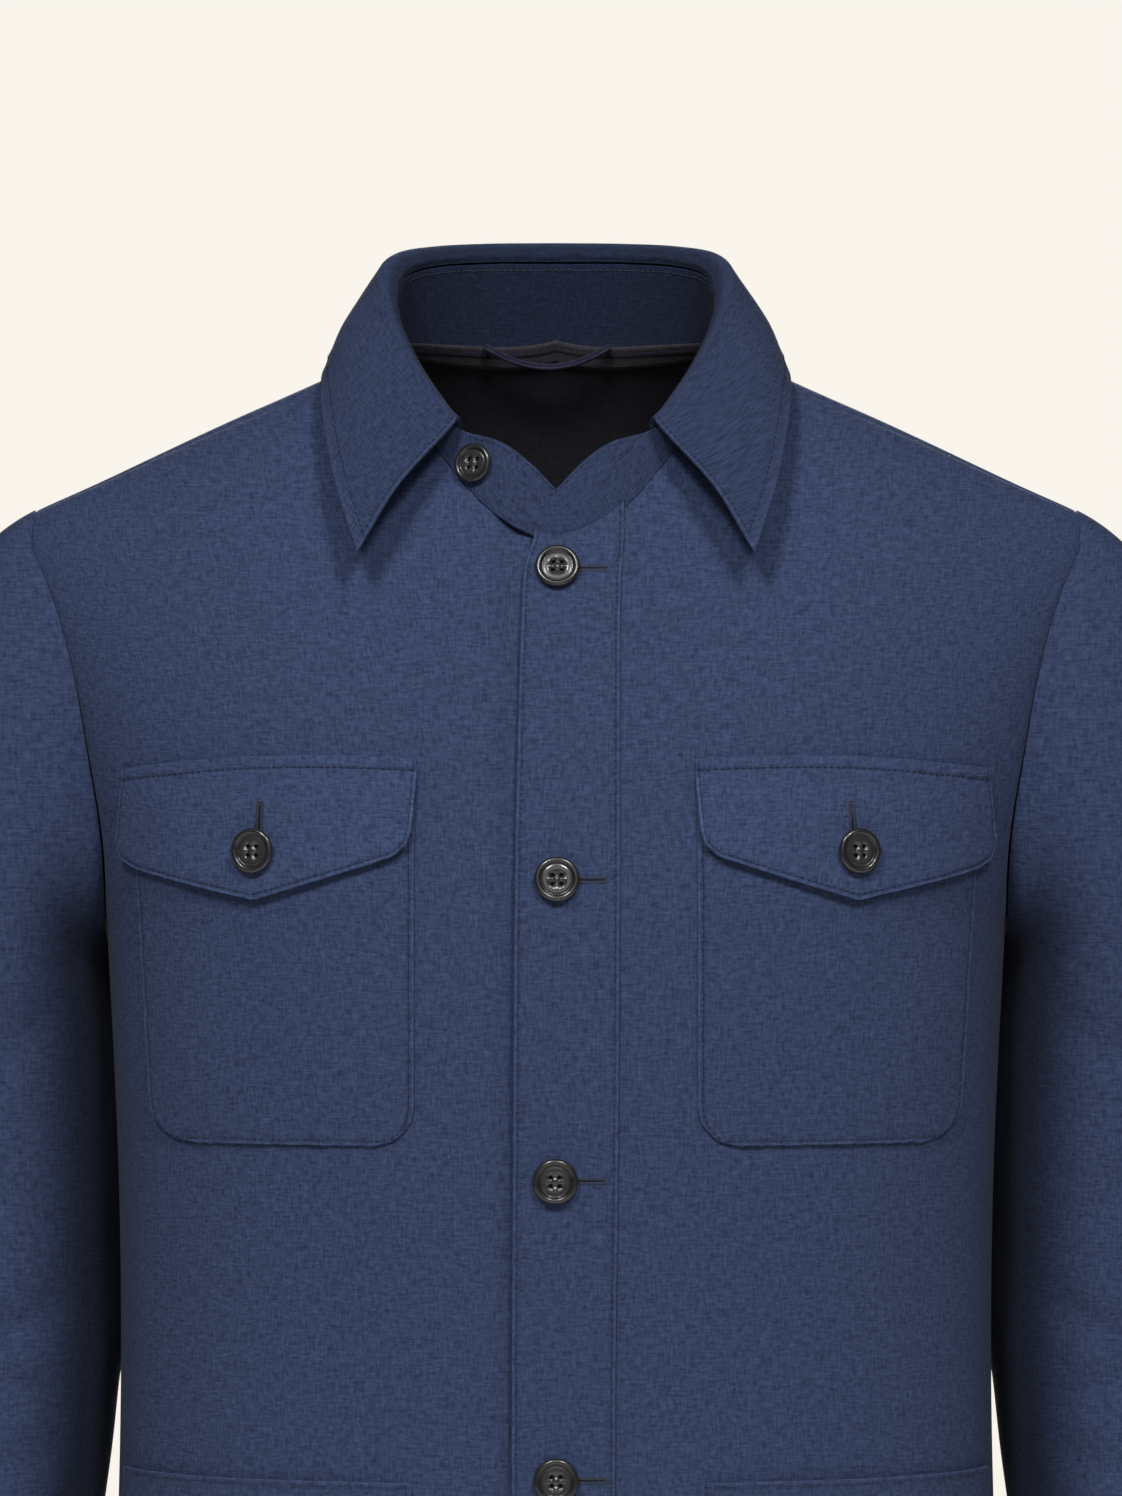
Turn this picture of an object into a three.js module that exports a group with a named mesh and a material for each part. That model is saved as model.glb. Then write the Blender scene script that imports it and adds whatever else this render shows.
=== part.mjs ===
// A linen safari jacket, hollow and filled out as if worn, modelled in millimetres.
// +Z is up, the front faces -Y, and +X is the wearer's left.
// The origin is in the middle of the neck, level with the top of the shoulders.
import * as THREE from 'three';

const DEGREE = Math.PI / 180;

// Cloth and clearances
const CLOTH = 1.6;
const POCKET_CLOTH = 1.8;
const COLLAR_CLOTH = 2.2;
const LINING_CLOTH = 1.0;
const SEAM_GAP = 0.4;
const LAY_GAP = 0.7;
const NAVY = 0x39466a;
const LINING_GREY = 0x77706c;
const HORN_GREY = 0x3a3a3c;

// Heights of the body
const ARMPIT_Z = -245;
const HEM_Z = -752;
const ARMPIT_HALF_WIDTH = 200;

// The torso below the armpit: one row for each section
const torso = [
  { z: ARMPIT_Z, half: ARMPIT_HALF_WIDTH, seamY: 6, front: 130, back: 112, power: 2.35 },
  { z: -300, half: 197, seamY: 6, front: 131, back: 109, power: 2.35 },
  { z: -360, half: 194.5, seamY: 5, front: 129, back: 105, power: 2.3 },
  { z: -430, half: 193.5, seamY: 4, front: 126, back: 102, power: 2.3 },
  { z: -500, half: 194.5, seamY: 3, front: 125, back: 104, power: 2.3 },
  { z: -580, half: 197.5, seamY: 2, front: 127, back: 109, power: 2.3 },
  { z: -660, half: 200.5, seamY: 2, front: 129, back: 113, power: 2.3 },
  { z: HEM_Z, half: 204, seamY: 2, front: 132, back: 116, power: 2.3 },
];

// The shoulder line: its height and its place front to back, from the neck outward
const shoulder = [
  { x: 0, z: 34, y: 6 },
  { x: 40, z: 25, y: 7 },
  { x: 72, z: 11.5, y: 8 },
  { x: 102, z: -3, y: 8 },
  { x: 150, z: -24.5, y: 7 },
  { x: 202, z: -49, y: 6 },
  { x: 233, z: -63, y: 5 },
  { x: 262, z: -77, y: 5 },
];

// Half width of the chest block from the armpit (rise 0) to the shoulder line (rise 1)
const chestBlock = [
  { rise: 0, half: ARMPIT_HALF_WIDTH },
  { rise: 0.2, half: 208.5 },
  { rise: 0.4, half: 220 },
  { rise: 0.74, half: 239 },
  { rise: 1, half: 252 },
];

// How boxy the chest and the upper back are, from the centre (across 0) to the armhole (1)
const chestRoll = [
  { across: 0, front: 1.4, back: 3.0 },
  { across: 0.3, front: 1.55, back: 2.6 },
  { across: 0.6, front: 1.95, back: 2.3 },
  { across: 1, front: 2.1, back: 2.1 },
];

// Neckline, armhole, shoulder seam and the front edges
const NECK_HALF_WIDTH = 72;
const NECK_CENTRE_Y = 6;
const NECK_FRONT_DEPTH = 80;
const NECK_BACK_DEPTH = 64;
const ARMHOLE_CENTRE_Y = 12;
const ARMHOLE_FRONT_REACH = 58;
const ARMHOLE_BACK_REACH = 60;
const ARMHOLE_UPPER_POWER = 1.3;
const ARMHOLE_LOWER_POWER = 0.78;
const SHOULDER_TIP_X = 233;
const ARMHOLE_SEARCH_X = 120;
const SEAM_FORWARD_AT_NECK = 0.12;
const SEAM_FORWARD_AT_TIP = 0.04;
const LEFT_FRONT_EDGE_X = -16.7;
const LEFT_FRONT_NECK_X = -7;
const UNDERLAP_X = 19;
const UNDERLAP_SINK = CLOTH + 0.9;
const UNDERLAP_STARTS_X = -32;
const UNDERLAP_FULL_X = -20;

// Grids of the fronts and the back, and the share of their width under the neckline
const LOWER_ROWS = 15;
const UPPER_ROWS = 9;
const FRONT_COLUMNS = 12;
const BACK_HALF_COLUMNS = 11;
const NECK_SHARE = 0.4;
const FOLD_FADE = 0.25;

// Soft folds pressed into or out of the body: centre, slant, half length, half width, depth
const bodyFolds = [
  { side: 'front', x: -105, z: -415, slant: 84, long: 70, wide: 34, deep: -1.6 },
  { side: 'front', x: 112, z: -425, slant: 97, long: 80, wide: 36, deep: -1.8 },
  { side: 'back', x: -128, z: -190, slant: 72, long: 80, wide: 26, deep: -3.2 },
  { side: 'back', x: 130, z: -195, slant: 106, long: 80, wide: 26, deep: -3.0 },
  { side: 'back', x: -70, z: -470, slant: 82, long: 120, wide: 32, deep: -3.6 },
  { side: 'back', x: 62, z: -490, slant: 96, long: 130, wide: 34, deep: -3.4 },
  { side: 'back', x: -4, z: -560, slant: 91, long: 130, wide: 30, deep: 2.4 },
];

// The hanging sleeve below the armhole: centre, half sizes, from the armpit to the cuff
const SLEEVE_TOP_Z = -264;
const sleeveRings = [
  { z: SLEEVE_TOP_Z, x: 249, y: 22, halfX: 48.5, halfY: 70, power: 2.2 },
  { z: -320, x: 247, y: 27, halfX: 50.5, halfY: 65, power: 2.15 },
  { z: -390, x: 246, y: 29, halfX: 50.5, halfY: 61, power: 2.1 },
  { z: -450, x: 247, y: 27, halfX: 51, halfY: 58, power: 2.1 },
  { z: -510, x: 252, y: 20, halfX: 49.5, halfY: 55, power: 2.1 },
  { z: -570, x: 256, y: 12, halfX: 47.5, halfY: 52, power: 2.1 },
  { z: -635, x: 259, y: 4, halfX: 45.5, halfY: 49, power: 2.1 },
  { z: -696, x: 261, y: -2, halfX: 44.5, halfY: 47, power: 2.1 },
];
const SLEEVE_CAP_ROWS = 7;
const SLEEVE_ROWS = 14;
const TOP_SLEEVE_COLUMNS = 16;
const UNDER_SLEEVE_COLUMNS = 7;
const UNDERARM_CLEAR = 1.9;
const UNDERARM_STARTS = 0.3;
const UNDERARM_FULL = 0.8;

// Turns of the sleeve's two seams, from the outer line over the front (90) and underneath
const SLEEVE_FRONT_SEAM = 186;
const SLEEVE_BACK_SEAM = 286;

// Direction in which the cap leaves the armhole: outward, forward, and down
const capLeaves = { topOut: 1, underOut: 0.25, forward: 0.35, topDown: 0.5, underDown: 1 };
const CAP_FULLNESS = 1.0;

// Soft folds of the sleeve: height, turn from the outer line, slant, half sizes, depth.
// They fade out towards the underarm side, from a turn of 75 to 45 degrees away from it.
const FOLD_FULL_TURN = 75;
const FOLD_NONE_TURN = 45;
const sleeveFolds = [
  { z: -300, turn: 95, slope: 0.45, tall: 12, around: 55, deep: -2.6 },
  { z: -352, turn: 60, slope: -0.4, tall: 11, around: 45, deep: -2.4 },
  { z: -418, turn: 110, slope: 0.5, tall: 10, around: 50, deep: -3.6 },
  { z: -446, turn: 85, slope: -0.35, tall: 9, around: 55, deep: -3.2 },
  { z: -478, turn: 120, slope: 0.3, tall: 10, around: 50, deep: -2.8 },
  { z: -545, turn: 250, slope: 0.35, tall: 14, around: 50, deep: -2.2 },
  { z: -610, turn: 70, slope: -0.3, tall: 13, around: 45, deep: -1.8 },
  { z: -430, turn: 250, slope: 0.25, tall: 15, around: 60, deep: 2.2 },
];

// Collar: the fold line and the leaf's outer edge, from the centre back (round 0) forward
const collarStations = [
  { round: 0, foldX: 0, foldY: 77, foldZ: 61.5, edgeX: 0, edgeY: 86, edgeZ: 8 },
  { round: 24, foldX: 29, foldY: 73, foldZ: 61, edgeX: 35, edgeY: 82.5, edgeZ: 7.5 },
  { round: 46, foldX: 54, foldY: 59, foldZ: 59, edgeX: 66, edgeY: 71, edgeZ: 6 },
  { round: 66, foldX: 71, foldY: 38, foldZ: 54.5, edgeX: 88, edgeY: 48, edgeZ: 4 },
  { round: 86, foldX: 77.5, foldY: 14, foldZ: 45, edgeX: 101, edgeY: 18, edgeZ: 2.5 },
  { round: 104, foldX: 75, foldY: -9, foldZ: 28, edgeX: 104, edgeY: -18, edgeZ: -4 },
  { round: 121, foldX: 66, foldY: -31, foldZ: 8, edgeX: 102, edgeY: -53, edgeZ: -23 },
  { round: 134, foldX: 54.5, foldY: -48, foldZ: -9.5, edgeX: 96, edgeY: -80, edgeZ: -52 },
  { round: 146, foldX: 43, foldY: -61, foldZ: -23.5, edgeX: 86, edgeY: -100, edgeZ: -83 },
];

// Top edge of the stand, from the centre back round to the front end
const standTop = [
  { round: 0, x: 0, y: 71, z: 51.5 },
  { round: 26, x: 31, y: 65.5, z: 51 },
  { round: 50, x: 55, y: 49, z: 48.5 },
  { round: 70, x: 68.5, y: 28, z: 43 },
  { round: 88, x: 73, y: 6, z: 32 },
  { round: 104, x: 71, y: -12, z: 17 },
  { round: 121, x: 62.5, y: -31, z: -1 },
  { round: 134, x: 52, y: -45, z: -16.5 },
  { round: 146, x: 42, y: -56, z: -28.5 },
  { round: 158, x: 25, y: -66, z: -34 },
  { round: 169, x: 12.5, y: -69.5, z: -42.5 },
  { round: 180, x: 1, y: -71, z: -54 },
  { round: 188, x: -4, y: -71, z: -58 },
];
const STAND_LEFT_END = 188;
const STAND_RIGHT_END = 172;
const LEAF_END = 146;
const ROLL_RADIUS = 4.5;
const LEAF_BULGE = 3.2;
const STAND_CLOTH = 2.0;
const STAND_ROWS = 3;
const STAND_GAP = 2.5;
const LEAF_GAP = 1.4;
const COLLAR_COLUMN_TURN = 10.5;
const NEIGHBOUR_TURN = 2;
const LEAF_RISE_SHARE = 0.45;
const leafSteps = [0, 0.2, 0.32, 0.4, 0.5, 0.6, 0.73, 0.86, 1];

// Patch pockets in front view, for the wearer's left side
const CHEST_POCKET = {
  inner: 61, outer: 184, outerLow: 175.5, top: -194, rise: 0, bottom: -339, corner: 17, columns: 8,
};
const LOWER_POCKET = {
  inner: 62, outer: 189, outerLow: 191, top: -484.5, rise: 8, bottom: -694, corner: 22, columns: 10,
};
const POCKET_ROWS = 6;
const CORNER_ROWS = 4;
const POCKET_RISE_POWER = 4;

// Chest flap: one row for each line from its sewn top edge to its free lower edge
const flapLines = [
  { topX: 60.3, topZ: -173, lowX: 63.2, lowZ: -205 },
  { topX: 64, topZ: -172.7, lowX: 65.2, lowZ: -211 },
  { topX: 69.5, topZ: -172.3, lowX: 70, lowZ: -215.3 },
  { topX: 89, topZ: -171.6, lowX: 89, lowZ: -221.2 },
  { topX: 109, topZ: -171.2, lowX: 109, lowZ: -227.4 },
  { topX: 128.6, topZ: -171.5, lowX: 128.6, lowZ: -233.4 },
  { topX: 148, topZ: -172.6, lowX: 148, lowZ: -228.8 },
  { topX: 166, topZ: -174.2, lowX: 166, lowZ: -224.2 },
  { topX: 181, topZ: -175.8, lowX: 181.5, lowZ: -220 },
  { topX: 185.5, topZ: -176.3, lowX: 187.8, lowZ: -216.2 },
  { topX: 188.4, topZ: -176.6, lowX: 190.3, lowZ: -208.5 },
];
const flapRows = [
  { down: 0, lift: 0 },
  { down: 0.2, lift: 0.25 },
  { down: 0.4, lift: 1 },
  { down: 0.7, lift: 1.1 },
  { down: 1, lift: 1.45 },
];

// Placket band on the wearer's left front: its two edges down the front
const placketEdges = [
  { z: -77, left: -9.5, right: 29.5 },
  { z: -90, left: -13.5, right: 28.5 },
  { z: -112, left: -14.8, right: 27.8 },
  { z: -170, left: -16.4, right: 27.5 },
  { z: -225, left: -17.4, right: 27.4 },
  { z: -340, left: -18.2, right: 26.6 },
  { z: -450, left: -18.8, right: 25.4 },
  { z: -600, left: -19, right: 25.2 },
  { z: HEM_Z, left: -19, right: 25 },
];
const PLACKET_ROWS = 24;
const PLACKET_COLUMNS = 3;
const PLACKET_ROW_BEND = 1.25;
const PLACKET_TOP_DROP = 1;

// Buttons
const BUTTON_RADIUS = 9.8;
const BUTTON_THICK = 3.4;
const COLLAR_BUTTON_RADIUS = 8.8;
const BUTTON_SIDES = 14;
const BUTTON_STAND_OFF = 0.5;
const buttonProfile = [
  { out: 0.72, up: 0 },
  { out: 0.97, up: 0.35 },
  { out: 1, up: 0.62 },
  { out: 0.93, up: 0.95 },
  { out: 0.8, up: 1 },
  { out: 0.66, up: 0.72 },
];
const BUTTON_DISH = 0.66;
const placketButtons = [
  { x: 0.8, z: -90.5 },
  { x: 0.4, z: -225 },
  { x: -0.3, z: -354 },
  { x: 0.1, z: -483 },
  { x: 0.1, z: -612 },
];
const FLAP_BUTTON = { x: 128.5, z: -212.5 };
const FLAP_BUTTON_LIFT = 1.2;
const COLLAR_BUTTON = { round: 151, up: 0.52 };

// Back neck pieces
const LINING_HALF_WIDTH = 84;
const LINING_DROP = 112;
const LINING_TOP_Z = 2;
const LINING_ROWS = 6;
const LINING_COLUMNS = 14;
const LINING_START = 12;
const LINING_TUCK = 0.02;
const LINING_TOP_GAP = 2.4;
const LINING_GAP = 2.8;
const LOOP_MIDDLE_X = -4;
const LOOP_HALF_SPAN = 28;
const LOOP_TOP_Z = 20;
const LOOP_SAG = 13.5;
const LOOP_INSET = 7.1;
const LOOP_END_INSET = 3.75;
const LOOP_END_POWER = 14;
const LOOP_RADIUS = 1.4;
const LOOP_SIDES = 8;
const LOOP_STEPS = 14;

// Small working values
const DIFFERENCE = 0.002;
const NORMAL_TURN_LIMIT = 89 * DEGREE;
const HALVINGS = 40;
const SEAM_SEARCH_TURN = 60 * DEGREE;

// Reads one column of a table, smoothly between its rows
function along(table, key, at, column) {
  const rising = table[0][key] < table[table.length - 1][key];
  const rows = rising ? table : [...table].reverse();
  const last = rows.length - 1;
  if (at <= rows[0][key]) {
    return rows[0][column];
  }
  if (at >= rows[last][key]) {
    return rows[last][column];
  }
  let i = 0;
  while (rows[i + 1][key] < at) {
    i += 1;
  }
  const step = rows[i + 1][key] - rows[i][key];
  const t = (at - rows[i][key]) / step;
  const slopeAt = (j) => {
    const low = rows[Math.max(j - 1, 0)];
    const high = rows[Math.min(j + 1, last)];
    return (high[column] - low[column]) / (high[key] - low[key]);
  };
  const t2 = t * t;
  const t3 = t2 * t;
  const start = (2 * t3 - 3 * t2 + 1) * rows[i][column] + (t3 - 2 * t2 + t) * step * slopeAt(i);
  const end = (3 * t2 - 2 * t3) * rows[i + 1][column] + (t3 - t2) * step * slopeAt(i + 1);
  return start + end;
}

function mix(a, b, t) {
  return a + (b - a) * t;
}

// Smooth 0 to 1 step
function ease(low, high, value) {
  const t = Math.min(1, Math.max(0, (value - low) / (high - low)));
  return t * t * (3 - 2 * t);
}

function signedPower(value, power) {
  return Math.sign(value) * Math.abs(value) ** power;
}

// Depth of the soft folds at a place on the body
function foldDepth(side, x, z) {
  let depth = 0;
  for (const fold of bodyFolds) {
    if (fold.side === side) {
      const turn = fold.slant * DEGREE;
      const dx = x - fold.x;
      const dz = z - fold.z;
      const lengthwise = (dx * Math.cos(turn) + dz * Math.sin(turn)) / fold.long;
      const across = (dz * Math.cos(turn) - dx * Math.sin(turn)) / fold.wide;
      depth += fold.deep * Math.exp(-(lengthwise * lengthwise + across * across));
    }
  }
  return depth;
}

// The right front runs under the left one, so its edge sinks by a cloth and a gap
function underlapSink(x) {
  return UNDERLAP_SINK * ease(UNDERLAP_STARTS_X, UNDERLAP_FULL_X, x);
}

// Front to back size of the chest block's section for a turn phi from the centre line
function section(phi, power) {
  return { across: signedPower(Math.sin(phi), 2 / power), deep: Math.cos(phi) ** (2 / power) };
}

// The body's outer skin. Phi turns from the centre line (0) to the side seam (90 degrees).
// Level runs from -1 at the hem over 0 at the armpit to 1 on the shoulder line, and past 1
// it goes on down the other side.
function skin(side, phi, level) {
  if (level > 1) {
    return skin(side === 'front' ? 'back' : 'front', phi, 2 - level);
  }
  const sign = side === 'front' ? -1 : 1;
  const point = new THREE.Vector3();
  if (level <= 0) {
    const z = ARMPIT_Z + level * (ARMPIT_Z - HEM_Z);
    const shape = section(phi, along(torso, 'z', z, 'power'));
    const depth = along(torso, 'z', z, side) * shape.deep;
    point.set(
      along(torso, 'z', z, 'half') * shape.across,
      along(torso, 'z', z, 'seamY') + sign * depth,
      z,
    );
  } else {
    const top = torso[0];
    const shape = section(phi, top.power);
    const roll = along(chestRoll, 'across', Math.abs(shape.across), side);
    const theta = level * 90 * DEGREE;
    const rise = Math.sin(theta) ** (2 / roll);
    const stay = Math.max(0, Math.cos(theta)) ** (2 / roll);
    const x = along(chestBlock, 'rise', rise, 'half') * shape.across;
    const ridgeZ = along(shoulder, 'x', Math.abs(x), 'z');
    const ridgeY = along(shoulder, 'x', Math.abs(x), 'y');
    const baseY = top.seamY + sign * top[side] * shape.deep;
    point.set(x, mix(ridgeY, baseY, stay), mix(ARMPIT_Z, ridgeZ, rise));
  }
  const fade = ease(0, FOLD_FADE, Math.cos(phi)) * ease(0, FOLD_FADE, 1 - level);
  point.y += sign * fade * foldDepth(side, point.x, point.z);
  return point;
}

// Outward direction of the skin
function skinNormal(side, phi, level) {
  const nearPhi = Math.max(-NORMAL_TURN_LIMIT, Math.min(NORMAL_TURN_LIMIT, phi));
  const a = skin(side, nearPhi - DIFFERENCE, level);
  const b = skin(side, nearPhi + DIFFERENCE, level);
  const c = skin(side, phi, level - DIFFERENCE);
  const d = skin(side, phi, level + DIFFERENCE);
  const normal = b.sub(a).cross(d.sub(c)).normalize();
  if (side === 'back') {
    normal.negate();
  }
  return normal;
}

// Turn and level of the skin at a place seen from the front or the back
function locate(side, x, z) {
  if (z <= ARMPIT_Z) {
    const power = along(torso, 'z', z, 'power');
    const across = Math.min(1, Math.abs(x) / along(torso, 'z', z, 'half'));
    const phi = Math.sign(x) * Math.asin(across ** (power / 2));
    return { phi, level: (z - ARMPIT_Z) / (ARMPIT_Z - HEM_Z) };
  }
  const top = torso[0];
  const ridgeZ = along(shoulder, 'x', Math.abs(x), 'z');
  const rise = Math.min(1, (z - ARMPIT_Z) / (ridgeZ - ARMPIT_Z));
  const across = Math.min(1, Math.abs(x) / along(chestBlock, 'rise', rise, 'half'));
  const roll = along(chestRoll, 'across', across, side);
  return {
    phi: Math.sign(x) * Math.asin(across ** (top.power / 2)),
    level: Math.asin(rise ** (roll / 2)) / (90 * DEGREE),
  };
}

// Finds by halving where a falling function reaches zero
function solve(low, high, height) {
  let a = low;
  let b = high;
  for (let i = 0; i < HALVINGS; i += 1) {
    const middle = (a + b) / 2;
    if (height(middle) > 0) {
      a = middle;
    } else {
      b = middle;
    }
  }
  return (a + b) / 2;
}

function skinAt(side, x, z) {
  const place = locate(side, x, z);
  return skin(side, place.phi, place.level);
}

// The neckline, an ellipse in plan: 0 at the side neck, 90 degrees at the centre
function neckPlace(side, turn) {
  const reach = side === 'front' ? NECK_FRONT_DEPTH : NECK_BACK_DEPTH;
  const x = NECK_HALF_WIDTH * Math.cos(turn);
  const depth = reach * Math.sin(turn);
  const ridgeZ = along(shoulder, 'x', Math.abs(x), 'z');
  const excess = (z) => Math.abs(skinAt(side, x, z).y - NECK_CENTRE_Y) - depth;
  const z = solve(ARMPIT_Z + 1, ridgeZ, excess);
  return locate(side, x, z);
}

// The armhole, seen from the side: 0 at the shoulder tip, 180 degrees at the armpit
function armholePlace(side, turn) {
  const tipZ = along(shoulder, 'x', SHOULDER_TIP_X, 'z');
  const halfHeight = (tipZ - ARMPIT_Z) / 2;
  const z = ARMPIT_Z + halfHeight * (1 + Math.cos(turn));
  const sign = side === 'front' ? -1 : 1;
  const reach = side === 'front' ? ARMHOLE_FRONT_REACH : ARMHOLE_BACK_REACH;
  const power = turn < 90 * DEGREE ? ARMHOLE_UPPER_POWER : ARMHOLE_LOWER_POWER;
  const middleY = mix(torso[0].seamY, ARMHOLE_CENTRE_Y, Math.sin(turn));
  const y = middleY + sign * reach * Math.sin(turn) ** power;
  const excess = (x) => sign * (skinAt(side, x, z).y - y);
  const x = solve(ARMHOLE_SEARCH_X, SHOULDER_TIP_X, excess);
  return locate(side, x, z);
}

// A closed wall from a grid of outer points and outward directions
function wall(name, grid, thick, material) {
  const rows = grid.length;
  const columns = grid[0].length;
  const positions = [];
  for (const row of grid) {
    for (const spot of row) {
      positions.push(spot.point.x, spot.point.y, spot.point.z);
    }
  }
  for (const row of grid) {
    for (const spot of row) {
      positions.push(
        spot.point.x - spot.normal.x * thick,
        spot.point.y - spot.normal.y * thick,
        spot.point.z - spot.normal.z * thick,
      );
    }
  }
  const inner = rows * columns;
  const index = [];
  const quad = (a, b, c, d) => index.push(a, b, c, a, c, d);
  for (let r = 0; r < rows - 1; r += 1) {
    for (let c = 0; c < columns - 1; c += 1) {
      const a = r * columns + c;
      const b = a + 1;
      const d = a + columns;
      const e = b + columns;
      quad(a, b, e, d);
      quad(inner + a, inner + d, inner + e, inner + b);
    }
  }
  for (let c = 0; c < columns - 1; c += 1) {
    quad(c, inner + c, inner + c + 1, c + 1);
    const e = (rows - 1) * columns + c;
    quad(e, e + 1, inner + e + 1, inner + e);
  }
  for (let r = 0; r < rows - 1; r += 1) {
    const a = r * columns;
    const b = a + columns;
    quad(a, b, inner + b, inner + a);
    const e = a + columns - 1;
    const f = b + columns - 1;
    quad(e, inner + e, inner + f, f);
  }
  const geometry = new THREE.BufferGeometry();
  geometry.setAttribute('position', new THREE.Float32BufferAttribute(positions, 3));
  geometry.setIndex(index);
  return finish(name, geometry, material);
}

// Names the mesh, and turns its faces out where the grid ran the other way round
function finish(name, geometry, material) {
  const index = geometry.getIndex();
  const place = geometry.getAttribute('position');
  let volume = 0;
  for (let i = 0; i < index.count; i += 3) {
    const corner = (k) => new THREE.Vector3().fromBufferAttribute(place, index.getX(i + k));
    volume += corner(0).dot(corner(1).cross(corner(2)));
  }
  if (volume < 0) {
    for (let i = 0; i < index.count; i += 3) {
      const kept = index.getX(i + 1);
      index.setX(i + 1, index.getX(i + 2));
      index.setX(i + 2, kept);
    }
  }
  geometry.computeVertexNormals();
  const mesh = new THREE.Mesh(geometry, material);
  mesh.name = name;
  return mesh;
}

function cloth(colour) {
  return new THREE.MeshStandardMaterial({ color: colour, roughness: 0.9, metalness: 0 });
}

const jacket = new THREE.Group();

// Fronts and back are grids in turn and level, filled in between their four edges.
// Level of the shoulder seam, a little forward of the ridge
function seamForward(x) {
  return mix(SEAM_FORWARD_AT_NECK, SEAM_FORWARD_AT_TIP, ease(NECK_HALF_WIDTH, SHOULDER_TIP_X, x));
}

// A turn and level on one side, or on past the shoulder line from the other side
function seenFrom(side, place, owner) {
  if (side === owner) {
    return place;
  }
  return { phi: place.phi, level: 2 - place.level };
}

const frontSideNeckTurn = solve(0, SEAM_SEARCH_TURN, (turn) => {
  const place = neckPlace('front', turn);
  return place.level - (1 - SEAM_FORWARD_AT_NECK);
});
const sideNeck = neckPlace('front', frontSideNeckTurn);
const frontTipTurn = solve(0, SEAM_SEARCH_TURN, (turn) => {
  const place = armholePlace('front', turn);
  return place.level - (1 - SEAM_FORWARD_AT_TIP);
});
const shoulderTip = armholePlace('front', frontTipTurn);

// Top edge of a panel's half: the neckline, then the shoulder seam
function topEdge(owner, u, centreTurn) {
  if (u < NECK_SHARE) {
    const t = u / NECK_SHARE;
    if (owner === 'front') {
      return neckPlace('front', mix(centreTurn, frontSideNeckTurn, t));
    }
    const wholeTurn = mix(centreTurn, -frontSideNeckTurn, t);
    return wholeTurn >= 0
      ? neckPlace('back', wholeTurn)
      : seenFrom('back', neckPlace('front', -wholeTurn), 'front');
  }
  const t = (u - NECK_SHARE) / (1 - NECK_SHARE);
  const phi = mix(sideNeck.phi, shoulderTip.phi, t);
  const x = skin('front', phi, 1).x;
  const level = mix(1 - seamForward(x), mix(sideNeck.level, shoulderTip.level, t), 0.5);
  return seenFrom(owner, { phi, level }, 'front');
}

// Armhole edge of a panel's half, from the armpit to the shoulder seam
function armEdge(owner, t) {
  const turn = owner === 'front'
    ? mix(180 * DEGREE, frontTipTurn, t)
    : mix(180 * DEGREE, -frontTipTurn, t);
  if (owner === 'back' && turn < 0) {
    return seenFrom('back', armholePlace('front', -turn), 'front');
  }
  return armholePlace(owner, Math.abs(turn));
}

function blend(a, b, t) {
  return { phi: mix(a.phi, b.phi, t), level: mix(a.level, b.level, t) };
}

// Grid of places for half a panel: rows from the hem up, columns from the centre edge out
function halfPanel(owner, columns, centreX, centreTurn) {
  const rows = [];
  const centrePhi = (level) => {
    const z = ARMPIT_Z + Math.min(0, level) * (ARMPIT_Z - HEM_Z);
    return locate(owner, centreX, z).phi;
  };
  for (let r = 0; r < LOWER_ROWS; r += 1) {
    const level = r / LOWER_ROWS - 1;
    const row = [];
    for (let c = 0; c <= columns; c += 1) {
      row.push({ phi: mix(centrePhi(level), 90 * DEGREE, c / columns), level });
    }
    rows.push(row);
  }
  const topLeft = topEdge(owner, 0, centreTurn);
  const topRight = armEdge(owner, 1);
  const startPhi = centrePhi(0);
  for (let r = 0; r <= UPPER_ROWS; r += 1) {
    const t = r / UPPER_ROWS;
    const left = blend({ phi: startPhi, level: 0 }, topLeft, t);
    const right = armEdge(owner, t);
    const row = [];
    for (let c = 0; c <= columns; c += 1) {
      const u = c / columns;
      const bottom = { phi: mix(startPhi, 90 * DEGREE, u), level: 0 };
      const top = topEdge(owner, u, centreTurn);
      const sides = blend(left, right, u);
      const ends = blend(bottom, top, t);
      const corners = blend(
        blend({ phi: startPhi, level: 0 }, { phi: 90 * DEGREE, level: 0 }, u),
        blend(topLeft, topRight, u),
        t,
      );
      row.push({
        phi: sides.phi + ends.phi - corners.phi,
        level: sides.level + ends.level - corners.level,
      });
    }
    rows.push(row);
  }
  return rows;
}

// Point and direction on the skin, pulled back from a seam and moved in or out
function spotOn(owner, place, lift = 0) {
  const point = skin(owner, place.phi, place.level);
  const normal = skinNormal(owner, place.phi, place.level);
  point.addScaledVector(normal, lift);
  return { point, normal };
}

// Draws the panel's side, armhole and shoulder edges in, to leave the seam's gap
function trimSeams(grid, trimmed) {
  const out = grid.map((row) => row.map((spot) => ({ ...spot, point: spot.point.clone() })));
  const shift = (r, c, otherR, otherC) => {
    const away = grid[otherR][otherC].point.clone().sub(grid[r][c].point).normalize();
    out[r][c].point.addScaledVector(away, SEAM_GAP / 2);
  };
  const last = grid.length - 1;
  const end = grid[0].length - 1;
  if (trimmed.sides) {
    grid.forEach((row, r) => shift(r, end, r, end - 1));
  }
  if (trimmed.both) {
    grid.forEach((row, r) => shift(r, 0, r, 1));
  }
  if (trimmed.top) {
    grid[last].forEach((spot, c) => shift(last, c, last - 1, c));
  }
  return out;
}

function mirrorPlace(place) {
  return { phi: -place.phi, level: place.level };
}

const leftEdgeTurn = Math.acos(LEFT_FRONT_NECK_X / NECK_HALF_WIDTH);
const rightEdgeTurn = Math.acos(-UNDERLAP_X / NECK_HALF_WIDTH);

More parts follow.
